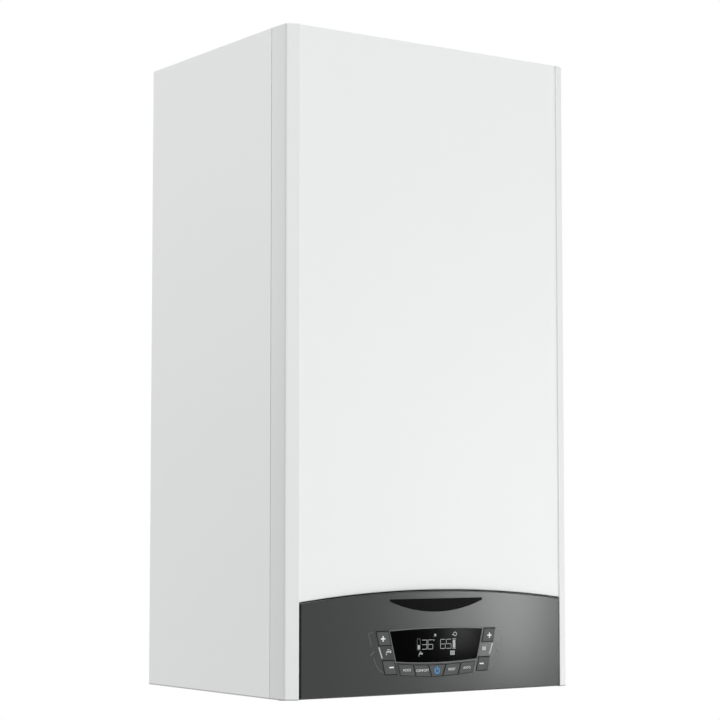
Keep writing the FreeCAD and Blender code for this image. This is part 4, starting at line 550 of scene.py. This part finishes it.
def is_end(face):
    """Whether a face is one of the two flat ends of a new cylinder."""
    return abs(face.normal.z) > 0.99


def copy_to(piece, place):
    """A copy with its own mesh, moved by the given offset."""
    twin = piece.copy()
    twin.data = piece.data.copy()
    twin.location = Vector(twin.location) + Vector(place)
    bpy.context.collection.objects.link(twin)
    return twin


def join(name, pieces):
    """Join pieces into one object at the origin."""
    pick(*pieces)
    if len(pieces) > 1:
        bpy.ops.object.join()
    bpy.ops.object.transform_apply(location=True, rotation=True, scale=True)
    whole = bpy.context.object
    whole.name = name
    whole.data.name = name
    return whole


def settle(piece, body, material):
    """Give a finished piece its material and let it ride on its body."""
    piece.data.materials.clear()
    piece.data.materials.append(material)
    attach(piece, body)


def to_mesh(piece):
    """Make a curve or a text with thickness a closed mesh at the origin."""
    pick(piece)
    bpy.ops.object.convert(target="MESH")
    bpy.ops.object.transform_apply(location=True, rotation=True, scale=True)
    edit_whole()
    bpy.ops.mesh.remove_doubles(threshold=WELD)
    bpy.ops.mesh.normals_make_consistent(inside=False)
    leave_edit()
    bpy.ops.object.shade_flat()
    return bpy.context.object


def fascia_face(x):
    """Depth of the bowed fascia at a place across it, and how far its surface is turned there."""
    low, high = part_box("fascia")
    radius = (high.x ** 2 + FASCIA_BULGE ** 2) / (2 * FASCIA_BULGE)
    return low.y + radius - math.sqrt(radius ** 2 - x ** 2), math.asin(x / radius)


def flat_shape(name, shapes, depth, face=None):
    """Print shapes on a flat face, or on the fascia where no face is given.

    Each shape is an outline of (x, height) points in millimetres, followed by its holes.
    """
    sheets = []
    for shape in shapes:
        curve = bpy.data.curves.new(name, "CURVE")
        curve.dimensions = "2D"
        curve.fill_mode = "BOTH"
        curve.extrude = depth / 2
        middle = sum(x for x, height in shape[0]) / len(shape[0])
        for outline in shape:
            edge = curve.splines.new("POLY")
            edge.points.add(len(outline) - 1)
            edge.use_cyclic_u = True
            for point, (x, height) in zip(edge.points, outline):
                point.co = ((x - middle) * MM, height * MM, 0.0, 1.0)
        piece = bpy.data.objects.new(name, curve)
        level, turn = fascia_face(middle * MM) if face is None else (face, 0.0)
        piece.rotation_euler = (math.pi / 2, 0.0, turn)
        piece.location = (middle * MM, level - depth / 2, CASE_FOOT)
        bpy.context.collection.objects.link(piece)
        sheets.append(to_mesh(piece))
    return join(name, sheets)


def word(name, text, x, height, size, depth, face):
    """A printed word, centred on a point of a flat face."""
    drop_selection()
    place = (x * MM, face - depth / 2, height * MM + CASE_FOOT)
    bpy.ops.object.text_add(location=place, rotation=(math.pi / 2, 0.0, 0.0))
    piece = bpy.context.object
    piece.data.body = text
    piece.data.size = size
    piece.data.align_x = "CENTER"
    piece.data.align_y = "CENTER"
    piece.data.extrude = depth / 2
    return join(name, [to_mesh(piece)])


# Outlines of the marks, in millimetres from the boiler's middle and the casing's foot

def ribbon(points, width):
    """The closed outline of a line of even width through the points."""
    left, right = [], []
    for index, (x, z) in enumerate(points):
        before = points[max(index - 1, 0)]
        after = points[min(index + 1, len(points) - 1)]
        along = Vector((after[0] - before[0], after[1] - before[1])).normalized()
        side = Vector((-along.y, along.x)) * width / 2
        left.append((x + side.x, z + side.y))
        right.append((x - side.x, z - side.y))
    return left + right[::-1]


def arc(centre, radius, start, end, steps=20):
    """Points along an arc, with its angles in degrees from the right."""
    points = []
    for step in range(steps + 1):
        angle = math.radians(start + (end - start) * step / steps)
        points.append((centre[0] + radius * math.cos(angle), centre[1] + radius * math.sin(angle)))
    return points


def ring(centre, outer, inner):
    """A round edge with a round hole."""
    return [arc(centre, outer, 0, 345, 23), arc(centre, inner, 0, 345, 23)]


def disc(centre, radius):
    """A small filled circle."""
    return [arc(centre, radius, 0, 330, 11)]


def block(left, right, low, high):
    """An upright rectangle."""
    return [[(left, low), (right, low), (right, high), (left, high)]]


def line(points, width):
    """A line of even width, as a shape with no hole."""
    return [ribbon(points, width)]


def mirrored(shapes):
    """The same shapes on the other side of the boiler's middle."""
    return [[[(-x, z) for x, z in outline] for outline in shape] for shape in shapes]


def scaled(points, x, z, unit):
    """The points of an icon, brought to its size and place."""
    return [[(x + px * unit, z + pz * unit) for px, pz in points]]


def plus_sign(x, z, arm, stroke):
    """A cross of two equal bars; arm and stroke are half a bar's length and width."""
    quarter = [(-arm, -stroke), (-stroke, -stroke), (-stroke, -arm)]
    corners = []
    for turn in range(4):
        corners += quarter
        quarter = [(-pz, px) for px, pz in quarter]
    return scaled(corners, x, z, 1.0)


def tap_icon(x, z, size):
    """A tap seen from the side: lever, body with its spout, and a drop."""
    unit = size / 8
    body = scaled(((4, -1), (4, 2.4), (2.6, 1.4), (-1.6, 1.4), (-3, 0.6), (-3.4, -1), (-2, -1),
                   (-1.6, -0.2), (1.4, -0.2), (2.8, -1)), x, z, unit)
    lever = block(x - 1.8 * unit, x + 1.8 * unit, z + 2.4 * unit, z + 3.4 * unit)
    drop = disc((x - 2.7 * unit, z - 2.6 * unit), 0.8 * unit)
    return [body, lever, drop]


def radiator_icon(x, z, size):
    """A radiator: upright columns with a rail behind them at the top and the foot."""
    unit = size / 8
    columns = [block(x + (step - 0.55) * unit, x + (step + 0.55) * unit, z - 2.6 * unit, z + 2.6 * unit)
               for step in (-2.7, -0.9, 0.9, 2.7)]
    rails = [block(x + (step + 0.6) * unit, x + (step + 1.2) * unit, level - 0.4 * unit, level + 0.4 * unit)
             for step in (-2.7, -0.9, 0.9) for level in (z - 1.8 * unit, z + 1.8 * unit)]
    return columns + rails


def flame_icon(x, z, size):
    """A flame over a bar."""
    unit = size / 8
    tongue = scaled(((-2.6, -1.6), (2.6, -1.6), (3.0, 0.2), (1.8, 2.8), (1.2, 0.6), (-0.4, 3.8),
                     (-1.4, 0.9), (-2.4, 1.6)), x, z, unit)
    return [tongue, block(x - 3.4 * unit, x + 3.4 * unit, z - 3.2 * unit, z - 2.2 * unit)]


def window_edge(grow, steps=12):
    """Points round the display window, moved outwards: straight ends, bowed foot and top."""
    half_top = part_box("display_window")[1].x / MM + grow
    half_foot = half_top - 8.4
    foot_level, foot_bow = 37.6 - grow, 2.3
    top_level, top_bow = 71.3 + grow, 1.8
    shares = [2 * step / steps - 1 for step in range(steps + 1)]
    foot = [(share * half_foot, foot_level - foot_bow * (1 - share * share)) for share in shares]
    top = [(-share * half_top, top_level + top_bow * (1 - share * share)) for share in shares]
    return foot + top


# Operators

class BOILER_OT_finishes(Operator):
    """Give every solid of the boiler the finish of its material slot"""

    bl_idname = "boiler.finishes"
    bl_label = "Finish the solids"

    def execute(self, context):
        by_slot = {make.__name__: make() for make in FINISHES}
        by_node = {"badge_plate": satin_black(), "front_cover": cover_enamel()}
        by_node["water_connections"] = by_node["gas_inlet"] = threaded_brass()
        for subpart in frame["record"]["subparts"]:
            material = by_node.get(subpart["node"], by_slot[subpart["material_slot"]])
            for place in frame["nodes"][subpart["node"]].material_slots:
                place.material = material
        return {"FINISHED"}


def bar_model(name, width, height, depth, place):
    """One lit bar: a slab whose four upright corners are rounded off."""
    rounding = min(width, height) * 0.42
    drop_selection()
    bpy.ops.mesh.primitive_cube_add(size=1, location=place)
    bar = bpy.context.object
    bar.name = name
    bar.scale = (width, depth, height)
    bpy.ops.object.transform_apply(location=False, rotation=False, scale=True)
    corners = [vertex.co for vertex in bar.data.vertices]

    def runs_through(edge):
        start, end = (corners[index] for index in edge.vertices)
        return abs(start.y - end.y) > depth / 2

    choose(bar, "EDGE", runs_through)
    bpy.ops.mesh.bevel(offset=rounding, segments=3, affect="EDGES")
    leave_edit()
    return bar


LIT_BARS = {"3": "abcdg", "5": "acdfg", "6": "acdefg"}
DIGITS = (("3", -17.5), ("6", -9.1), ("6", 8.6), ("5", 16.9))
DIGIT_LEVEL = 55.3


class BOILER_OT_display(Operator):
    """Lay the lit digits, gauges and icons on the display window"""

    bl_idname = "boiler.display"
    bl_label = "Light the display"

    def execute(self, context):
        marks = context.scene.boiler_marks
        glow = lit("lit_segments", context.scene.boiler_colours.segment, 0.85)
        faint = lit("dim_segments", context.scene.boiler_colours.segment, 0.12)
        depth = marks.ink_depth * 2
        centre = (0, WINDOW_FACE, CASE_FOOT + DIGIT_LEVEL * MM)
        rise = (marks.digit_height - marks.segment_width) / 2
        reach = (marks.digit_width - marks.segment_width) / 2
        gap = 0.25 * MM
        flat = bar_model("bar", 2 * reach - gap, marks.segment_width, depth, centre)
        tall = bar_model("post", marks.segment_width, rise - gap, depth, centre)
        places = {
            "a": (flat, 0, rise), "d": (flat, 0, -rise), "g": (flat, 0, 0),
            "b": (tall, reach, rise / 2), "c": (tall, reach, -rise / 2),
            "e": (tall, -reach, -rise / 2), "f": (tall, -reach, rise / 2),
        }
        bars = []
        for digit, x in DIGITS:
            for letter in LIT_BARS[digit]:
                model, along, up = places[letter]
                bars.append(copy_to(model, (x * MM + along, 0, up)))
        for model in (flat, tall):
            bpy.data.objects.remove(model)
        settle(join("display_digits", bars), "control_box", glow)
        degree = ring((-4.2, 60.0), 0.8, 0.4)
        clock = [ring((26.0, 66.2), 2.5, 1.7), disc((22.7, 65.4), 0.7)]
        left_level = block(-26.7, -23.9, 50.3, 54.9)
        right_level = [block(22.7, 26.3, 50.6, 59.6)]
        right_level += [block(21.9, 27.1, low, low + 0.5) for low in (60.5, 49.5)]
        icons = flame_icon(-2.3, 65.8, 4.0) + tap_icon(-23.0, 44.9, 5.9) + radiator_icon(22.2, 45.0, 7.6)
        shapes = [degree] + clock + [left_level] + right_level + icons
        lights = flat_shape("display_icons", shapes, depth, WINDOW_FACE)
        settle(lights, "control_box", glow)
        rails = block(-27.7, -22.9, 49.2, 62.2) + block(-27.1, -23.5, 49.8, 61.6)
        gauge = flat_shape("display_gauge_frame", [rails], depth, WINDOW_FACE)
        settle(gauge, "control_box", faint)
        return {"FINISHED"}


PLUS_SPOT = (75.1, 63.4)
MINUS_SPOT = (63.6, 31.4)
POWER_SPOT = (0.0, 25.8)
ROW_LEGENDS = (
    ("mode", -42.3, 27.4), ("comfort", -20.8, 26.4), ("reset", 20.8, 26.4), ("auto", 42.3, 27.4),
)


class BOILER_OT_legends(Operator):
    """Print the signs and words on the push keys"""

    bl_idname = "boiler.legends"
    bl_label = "Print the key legends"

    def execute(self, context):
        marks = context.scene.boiler_marks
        colours = context.scene.boiler_colours
        white = ink("legend_ink", colours.ink)
        depth = marks.ink_depth
        arm, stroke = 3.1, 0.75
        for side, hand in (("hot_water", -1), ("heating", 1)):
            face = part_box(f"{side}_up_key")[0].y
            cross = plus_sign(hand * PLUS_SPOT[0], PLUS_SPOT[1], arm, stroke)
            plus = flat_shape(f"{side}_plus", [cross], depth, face)
            settle(plus, f"{side}_up_key", white)
            x, z = hand * MINUS_SPOT[0], MINUS_SPOT[1]
            dash = block(x - arm, x + arm, z - stroke, z + stroke)
            minus = flat_shape(f"{side}_minus", [dash], depth, face)
            settle(minus, f"{side}_down_key", white)
        for name, x, height in ROW_LEGENDS:
            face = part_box(f"{name}_key")[0].y
            legend = word(f"{name}_legend", name.upper(), x, height, marks.legend_height, depth, face)
            settle(legend, f"{name}_key", white)
        x, z = POWER_SPOT
        half_bar = 0.8
        bow = line(arc(POWER_SPOT, 3.1, 125, 415, 30), 1.7)
        symbol = [bow, block(x - half_bar, x + half_bar, z + 0.4, z + 5.0)]
        power = flat_shape("power_symbol", symbol, depth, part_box("power_key")[0].y)
        settle(power, "power_key", lit("power_light", colours.power, 0.75))
        return {"FINISHED"}


class BOILER_OT_fascia_print(Operator):
    """Print the lines and icons on the fascia round the keys"""

    bl_idname = "boiler.fascia_print"
    bl_label = "Print the fascia"

    def execute(self, context):
        depth = context.scene.boiler_marks.ink_depth
        grey = ink("line_ink", context.scene.boiler_colours.line_ink)
        white = ink("icon_ink", context.scene.boiler_colours.icon_ink)
        cell_line = [line([(-80.2, 54.2), (-75.7, 41.8)], 1.5)]
        left = flat_shape("hot_water_marks", cell_line + tap_icon(-67.4, 48.4, 7.6), depth)
        settle(left, "control_box", white)
        right = flat_shape("heating_marks", mirrored(cell_line) + radiator_icon(67.8, 48.4, 6.4), depth)
        settle(right, "control_box", white)
        sweep = [(-87.2, 43.2), (-85.4, 38.0), (-83.2, 33.6), (-80.4, 29.8), (-77.0, 27.4), (-74.2, 26.2)]
        lines = [line(sweep, 0.6), line([(-91.4, 45.6), (-86.3, 49.7)], 0.9),
                 line([(-94.0, 69.4), (-90.2, 55.4)], 0.5), line([(-94.2, 69.9), (-88.0, 70.6)], 0.4)]
        brackets = flat_shape("bracket_lines", lines + mirrored(lines), depth)
        settle(brackets, "control_box", grey)
        rim_start, rim_end = 0.3, 1.1
        pairs = list(zip(window_edge(rim_start), window_edge(rim_end)))
        runs = []
        for (inner, outer), (next_inner, next_outer) in zip(pairs, pairs[1:] + pairs[:1]):
            runs.append([[inner, next_inner, next_outer, outer]])
        settle(flat_shape("window_rim", runs, depth), "control_box", grey)
        return {"FINISHED"}


def key_section(node, depth):
    """A flat sheet with the outline that a key has at a depth behind its front; left in edit mode."""
    sheet = bpy.data.objects.new(node, frame["nodes"][node].data.copy())
    bpy.context.collection.objects.link(sheet)
    pick(sheet)
    edit_whole()
    bpy.ops.mesh.remove_doubles(threshold=WELD)
    cut = (0.0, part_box(node)[0].y + depth, 0.0)
    bpy.ops.mesh.bisect(plane_co=cut, plane_no=(0.0, 1.0, 0.0), use_fill=True,
                        clear_inner=True, clear_outer=True)
    return sheet


OUTER_KEYS = ("hot_water_up_key", "hot_water_down_key", "heating_up_key", "heating_down_key")


class BOILER_OT_key_skirts(Operator):
    """Lay a thin dark rubber skirt round each key, over the gap to the fascia; its black is partly a painted
    shadow of that gap
    """

    bl_idname = "boiler.key_skirts"
    bl_label = "Lay the key skirts"

    def execute(self, context):
        marks = context.scene.boiler_marks
        rubber = key_rubber_gap_shade()
        skirts = []
        for node in [name for name in frame["nodes"] if name.endswith("_key")]:
            low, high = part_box(node)
            size = high - low
            width = marks.skirt_width if node in OUTER_KEYS else marks.row_skirt_width
            grow = 2 * (marks.skirt_clearance + width)
            skirt = key_section(node, marks.skirt_depth)
            bpy.ops.mesh.select_mode(type="FACE")
            bpy.ops.mesh.select_all(action="SELECT")
            bpy.ops.transform.resize(value=(1 + grow / size.x, 1.0, 1 + grow / size.z),
                                     center_override=(low + high) / 2)
            bpy.ops.mesh.inset(thickness=width)
            bpy.ops.mesh.delete(type="FACE")
            leave_edit()
            for corner in skirt.data.vertices:
                corner.co.y = fascia_face(corner.co.x)[0]
            wall = skirt.modifiers.new("wall", "SOLIDIFY")
            wall.thickness = 2 * marks.ink_depth
            wall.offset = 0.0
            bpy.ops.object.modifier_apply(modifier=wall.name)
            skirts.append(skirt)
        # the black rings are partly a painted shadow of the gap round each key
        settle(join("key_skirts", skirts), "control_box", rubber)
        return {"FINISHED"}


class BOILER_OT_baffle(Operator):
    """Stand a dark strip behind the fascia's arched top, so that nothing shines through the gap"""

    bl_idname = "boiler.baffle"
    bl_label = "Fit the baffle"

    def execute(self, context):
        fittings = context.scene.boiler_fittings
        half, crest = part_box("fascia")[1].x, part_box("fascia")[1].z
        radius = (half ** 2 + FASCIA_RISE ** 2) / (2 * FASCIA_RISE)
        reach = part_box("control_box_cover")[1].x
        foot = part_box("control_box_cover")[1].z
        half_steps = 12
        across = [reach * (1 - step / half_steps) for step in range(2 * half_steps + 1)]
        arch = [(x, crest - radius + math.sqrt(radius ** 2 - x ** 2)) for x in across]
        corners = [(-reach, foot), (reach, foot)] + arch
        shape = [[(x / MM, (z - CASE_FOOT) / MM) for x, z in corners]]
        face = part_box("fascia")[0].y + fittings.baffle_depth
        strip = flat_shape("gap_baffle", [shape], fittings.baffle_sheet, face)
        dark = frame["nodes"]["control_box"].material_slots[0].material
        settle(strip, "control_box", dark)
        return {"FINISHED"}


def hex_nut(name, radius, height):
    """A six-sided union nut with chamfered ends and a sunk ring where the pipe comes out."""
    chamfer, rim, sink = radius * 0.1, radius * 0.16, height * 0.08
    drop_selection()
    bpy.ops.mesh.primitive_cylinder_add(vertices=6, radius=radius, depth=height)
    nut = bpy.context.object
    nut.name = name
    levels = [vertex.co.z for vertex in nut.data.vertices]
    choose(nut, "EDGE", lambda edge: levels[edge.vertices[0]] == levels[edge.vertices[1]])
    bpy.ops.mesh.bevel(offset=chamfer, segments=2, affect="EDGES")
    leave_edit()
    choose(nut, "FACE", is_end)
    bpy.ops.mesh.inset(thickness=rim, depth=-sink)
    leave_edit()
    return nut


def grommet(name, radius, thickness):
    """A rubber ring, made taller than it is thick so that it grips the sheet."""
    tallness = 1.5
    drop_selection()
    bpy.ops.mesh.primitive_torus_add(
        major_radius=radius, minor_radius=thickness, major_segments=36, minor_segments=12)
    ring_piece = bpy.context.object
    ring_piece.name = name
    edit_whole()
    bpy.ops.transform.resize(value=(1.0, 1.0, tallness))
    bpy.ops.mesh.faces_shade_smooth()
    leave_edit()
    return ring_piece


class BOILER_OT_unions(Operator):
    """Screw union nuts on the pipe ends below the air box"""

    bl_idname = "boiler.unions"
    bl_label = "Fit the union nuts"

    def execute(self, context):
        fittings = context.scene.boiler_fittings
        flow_low, flow_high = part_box("flow_pipe")
        return_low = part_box("return_pipe")[0]
        gas_low, gas_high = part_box("gas_pipe")
        small_low, small_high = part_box("vessel_pipe")
        half = fittings.nut_height / 2
        row_y = flow_high.y - PIPE_RADIUS
        large_ends = (
            (flow_high.x - PIPE_RADIUS, row_y, flow_low.z + half),
            (return_low.x + PIPE_RADIUS, row_y, return_low.z + half),
            (0, row_y, gas_low.z + half),
            (0, gas_low.y + PIPE_RADIUS, gas_high.z - half),
        )
        small_ends = (
            (small_high.x - SMALL_PIPE_RADIUS, row_y, small_low.z + half),
            (0, small_high.y - SMALL_PIPE_RADIUS, small_high.z - half),
        )
        kinds = (("large", PIPE_RADIUS, large_ends), ("small", SMALL_PIPE_RADIUS, small_ends))
        nuts = []
        for name, radius, places in kinds:
            model = hex_nut(name, radius * fittings.nut_ratio, fittings.nut_height)
            nuts += [copy_to(model, place) for place in places]
            bpy.data.objects.remove(model)
        settle(join("union_nuts", nuts), "boiler", bpy.data.materials["stamped_brass"])
        return {"FINISHED"}


class BOILER_OT_grommets(Operator):
    """Seal the pipes where they pass the air box's floor"""

    bl_idname = "boiler.grommets"
    bl_label = "Fit the grommets"

    def execute(self, context):
        thickness = context.scene.boiler_fittings.grommet_thickness
        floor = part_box("air_box")[0].z
        flow_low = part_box("flow_pipe")[0]
        flow_spot = (flow_low.x + PIPE_RADIUS, flow_low.y + PIPE_RADIUS, floor)
        riser_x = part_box("return_pipe")[1].x - PIPE_RADIUS
        riser_spot = (riser_x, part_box("heat_exchanger")[0].y + RISER_DEPTH, floor)
        model = grommet("ring", PIPE_RADIUS + thickness, thickness)
        rings = [copy_to(model, place) for place in (flow_spot, riser_spot)]
        bpy.data.objects.remove(model)
        settle(join("pipe_grommets", rings), "boiler", bpy.data.materials["closed_cell_foam"])
        return {"FINISHED"}


class BOILER_OT_recesses(Operator):
    """Mark the cross recesses in the heads of the lid screws with flat dark crosses, a painted shade of the
    recesses
    """

    bl_idname = "boiler.recesses"
    bl_label = "Cut the screw recesses"

    def execute(self, context):
        low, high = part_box("lid_screws")
        arm, groove_shade = SCREW_HEAD_RADIUS / MM * 0.6, SCREW_HEAD_RADIUS / MM * 0.13
        sides = (low.x + SCREW_HEAD_RADIUS, high.x - SCREW_HEAD_RADIUS)
        levels = (low.z + SCREW_HEAD_RADIUS, high.z - SCREW_HEAD_RADIUS)
        spots = [(x, z) for x in (*sides, 0.0) for z in levels] + [(x, sum(levels) / 2) for x in sides]
        # flat dark crosses: painted shade in place of cut recesses
        crosses = [plus_sign(x / MM, (z - CASE_FOOT) / MM, arm, groove_shade) for x, z in spots]
        marks = flat_shape("lid_screw_recess_shades", crosses, context.scene.boiler_marks.ink_depth, low.y)
        settle(marks, "boiler", shadowed("shadowed_zinc", "#2C2C2B", "#3A3A38"))
        return {"FINISHED"}


class BOILER_OT_vessel_ribs(Operator):
    """Press round ribs into the flat back of the expansion vessel, where the rear frame is open"""

    bl_idname = "boiler.vessel_ribs"
    bl_label = "Press the vessel's ribs"

    def execute(self, context):
        fittings = context.scene.boiler_fittings
        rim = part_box("expansion_vessel")[1]
        centre = (0.0, rim.y, rim.z - rim.x)
        flatness = 2 * fittings.rib_height / fittings.rib_width
        ribs = []
        for share in (0.24, 0.44, 0.64):
            drop_selection()
            bpy.ops.mesh.primitive_torus_add(
                location=centre, rotation=(math.pi / 2, 0.0, 0.0), major_segments=96, minor_segments=16,
                major_radius=rim.x * share, minor_radius=fittings.rib_width / 2)
            edit_whole()
            bpy.ops.transform.resize(value=(1.0, flatness, 1.0), center_override=centre)
            leave_edit()
            bpy.ops.object.shade_smooth()
            ribs.append(bpy.context.object)
        paint = frame["nodes"]["expansion_vessel"].material_slots[0].material
        settle(join("vessel_ribs", ribs), "boiler", paint)
        return {"FINISHED"}


class BOILER_OT_bleed_plug(Operator):
    """Put the bleed plug in the middle of the pump motor, its slot a flat dark bar of painted shade"""

    bl_idname = "boiler.bleed_plug"
    bl_label = "Fit the bleed plug"

    def execute(self, context):
        radius = context.scene.boiler_fittings.plug_radius
        height = context.scene.boiler_fittings.plug_height
        rounding, rim, sink = radius * 0.12, radius * 0.2, height * 0.2
        wheel_low, wheel_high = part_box("pump_impeller")
        centre = (wheel_low + wheel_high) / 2
        centre.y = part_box("pump_motor")[0].y
        drop_selection()
        bpy.ops.mesh.primitive_cylinder_add(
            vertices=40, radius=radius, depth=2 * height, location=centre, rotation=(math.pi / 2, 0.0, 0.0))
        plug = bpy.context.object
        choose(plug, "FACE", is_end)
        bpy.ops.mesh.bevel(offset=rounding, segments=3, affect="EDGES")
        leave_edit()
        choose(plug, "FACE", is_end)
        bpy.ops.mesh.inset(thickness=rim, depth=-sink)
        leave_edit()
        bpy.ops.object.shade_smooth_by_angle(angle=math.radians(30))
        settle(join("bleed_plug", [plug]), "boiler", bpy.data.materials["stamped_brass"])
        # the slot is a flat dark bar: painted shade in place of a cut slot
        reach = radius / MM * 0.78
        x, z, half_slot = centre.x / MM, (centre.z - CASE_FOOT) / MM, reach * 0.12
        groove_shade = block(x - reach, x + reach, z - half_slot, z + half_slot)
        face = centre.y - height + sink
        slot = flat_shape("bleed_plug_slot_shade", [groove_shade], context.scene.boiler_marks.ink_depth, face)
        settle(slot, "boiler", shadowed("shadowed_brass", "#3B3018", "#4A3D20"))
        return {"FINISHED"}


def softbox(name, place, aim, width, height, power):
    """A soft rectangular lamp turned to a point."""
    bpy.ops.object.light_add(type="AREA", location=place)
    lamp = bpy.context.object
    lamp.name = name
    lamp.data.shape = "RECTANGLE"
    lamp.data.size = width
    lamp.data.size_y = height
    lamp.data.energy = power
    lamp.rotation_euler = (Vector(aim) - Vector(place)).to_track_quat("-Z", "Y").to_euler()
    lamp.visible_camera = False


def studio_world(ambient, room):
    """White behind the object, a dimmer room in front of it, and even light for matt surfaces."""
    world = bpy.data.worlds.new("studio")
    bpy.context.scene.world = world
    world.use_nodes = True
    tree = world.node_tree
    tree.nodes.clear()
    ray = add(tree, "LightPath").outputs
    heading = add(tree, "SeparateXYZ", {"Vector": add(tree, "TexCoord").outputs["Generated"]})
    backdrop = add(tree, "MapRange", {"Value": heading.outputs["Y"], "From Min": -0.3, "From Max": 0.5,
                                      "To Min": room, "To Max": 1.0})
    glossy = add(tree, "Mix", {"Factor": ray["Is Glossy Ray"], "A": ambient, "B": backdrop})
    through = add(tree, "Mix", {"Factor": ray["Is Transmission Ray"], "A": glossy, "B": 1.0})
    seen = add(tree, "Mix", {"Factor": ray["Is Camera Ray"], "A": through, "B": 1.0})
    glow = add(tree, "Background", {"Color": linear("#FFFFFF"), "Strength": seen})
    add(tree, "OutputWorld", {"Surface": glow})


def floor_paint():
    """Matt white studio floor: bright where it is looked at, with the shadow left in it."""
    material, tree, place = blank("studio_floor")
    mottle = add(tree, "TexNoise", {"Vector": place, "Scale": per(900)})
    tone = add(tree, "ValToRGB", {"Fac": mottle}, stops=((0.0, linear("#F3F3F3")), (1.0, linear("#F7F7F7"))))
    matt = add(tree, "BsdfDiffuse", {"Color": tone})
    ray = add(tree, "LightPath").outputs
    mirror = add(tree, "Math", {0: ray["Is Camera Ray"], 1: ray["Is Glossy Ray"]}, operation="MAXIMUM")
    seen = add(tree, "Math", {0: mirror, 1: ray["Is Transmission Ray"]}, operation="MAXIMUM")
    spread = add(tree, "VectorMath", {0: place}, operation="LENGTH")
    fade = add(tree, "MapRange", {"Value": spread.outputs["Value"], "From Min": 0.5, "From Max": 3.0,
                                  "To Min": 0.8, "To Max": 1.0})
    share = add(tree, "Math", {0: seen, 1: fade}, operation="MULTIPLY")
    white = add(tree, "Emission", {"Color": linear("#FFFFFF"), "Strength": 1.0})
    top = add(tree, "MixShader", {0: share, 1: matt, 2: white})
    side = add(tree, "NewGeometry").outputs["Backfacing"]
    both = add(tree, "MixShader", {0: side, 1: top, 2: add(tree, "BsdfTransparent")})
    add(tree, "OutputMaterial", {"Surface": both})
    return material


class BOILER_OT_stage(Operator):
    """Set the floor, the soft lamps and the camera"""

    bl_idname = "boiler.stage"
    bl_label = "Set the stage"

    def execute(self, context):
        stage = context.scene.boiler_stage
        drop_selection()
        bpy.ops.mesh.primitive_plane_add(size=10, location=(0, 0, CASE_FOOT - stage.floor_drop))
        floor = context.object
        floor.name = "studio_floor"
        floor.data.materials.append(floor_paint())
        middle = (0.0, -0.25, -0.33)
        panel = (0.09, -0.32, -0.64)
        softbox("front_softbox", (-0.45, -3.05, 0.6), middle, width=2.2, height=2.0, power=28.0)
        softbox("side_softbox", (-2.25, 1.51, 0.6), middle, width=1.2, height=1.4, power=19.0)
        softbox("low_softbox", (1.16, -1.41, -1.48), middle, width=0.8, height=0.8, power=4.6)
        softbox("strip_lamp", (1.55, -1.96, -0.52), panel, width=0.12, height=0.6, power=4.1)
        softbox("narrow_lamp", (1.31, -1.99, -0.46), panel, width=0.045, height=0.62, power=1.3)
        studio_world(ambient=0.5, room=0.25)
        context.scene.view_settings.view_transform = "Standard"
        bpy.ops.object.camera_add(
            location=stage.eye, rotation=(math.pi / 2 + stage.tilt, 0.0, -stage.turn))
        camera = context.object
        camera.data.lens = stage.lens
        camera.data.sensor_width = 36
        camera.data.shift_y = stage.shift
        camera.data.clip_end = 100
        context.scene.camera = camera
        return {"FINISHED"}


class BOILER_PT_panel(Panel):
    """Lists the steps that dress the boiler"""

    bl_idname = "BOILER_PT_panel"
    bl_label = "Gas boiler"
    bl_space_type = "VIEW_3D"
    bl_region_type = "UI"
    bl_category = "Boiler"

    def draw(self, context):
        for step in STEPS:
            self.layout.operator(step.bl_idname)
        for group_name, group in GROUPS.items():
            column = self.layout.column()
            for name in group.__annotations__:
                column.prop(getattr(context.scene, group_name), name)


STEPS = (
    BOILER_OT_finishes, BOILER_OT_display, BOILER_OT_legends, BOILER_OT_fascia_print,
    BOILER_OT_key_skirts, BOILER_OT_baffle, BOILER_OT_unions, BOILER_OT_grommets,
    BOILER_OT_recesses, BOILER_OT_vessel_ribs, BOILER_OT_bleed_plug, BOILER_OT_stage,
)
GROUPS = {
    "boiler_colours": BoilerColours, "boiler_marks": BoilerMarks, "boiler_fittings": BoilerFittings,
    "boiler_stage": BoilerStage,
}


def register():
    for name, group in GROUPS.items():
        bpy.utils.register_class(group)
        setattr(bpy.types.Scene, name, PointerProperty(type=group))
    for step in STEPS:
        bpy.utils.register_class(step)
    bpy.utils.register_class(BOILER_PT_panel)


def unregister():
    bpy.utils.unregister_class(BOILER_PT_panel)
    for step in reversed(STEPS):
        bpy.utils.unregister_class(step)
    for name, group in GROUPS.items():
        delattr(bpy.types.Scene, name)
        bpy.utils.unregister_class(group)


def main():
    register()
    bpy.ops.boiler.finishes()
    bpy.ops.boiler.display()
    bpy.ops.boiler.legends()
    bpy.ops.boiler.fascia_print()
    bpy.ops.boiler.key_skirts()
    bpy.ops.boiler.baffle()
    bpy.ops.boiler.unions()
    bpy.ops.boiler.grommets()
    bpy.ops.boiler.recesses()
    bpy.ops.boiler.vessel_ribs()
    bpy.ops.boiler.bleed_plug()
    bpy.ops.boiler.stage()


if __name__ == "__main__":
    main()
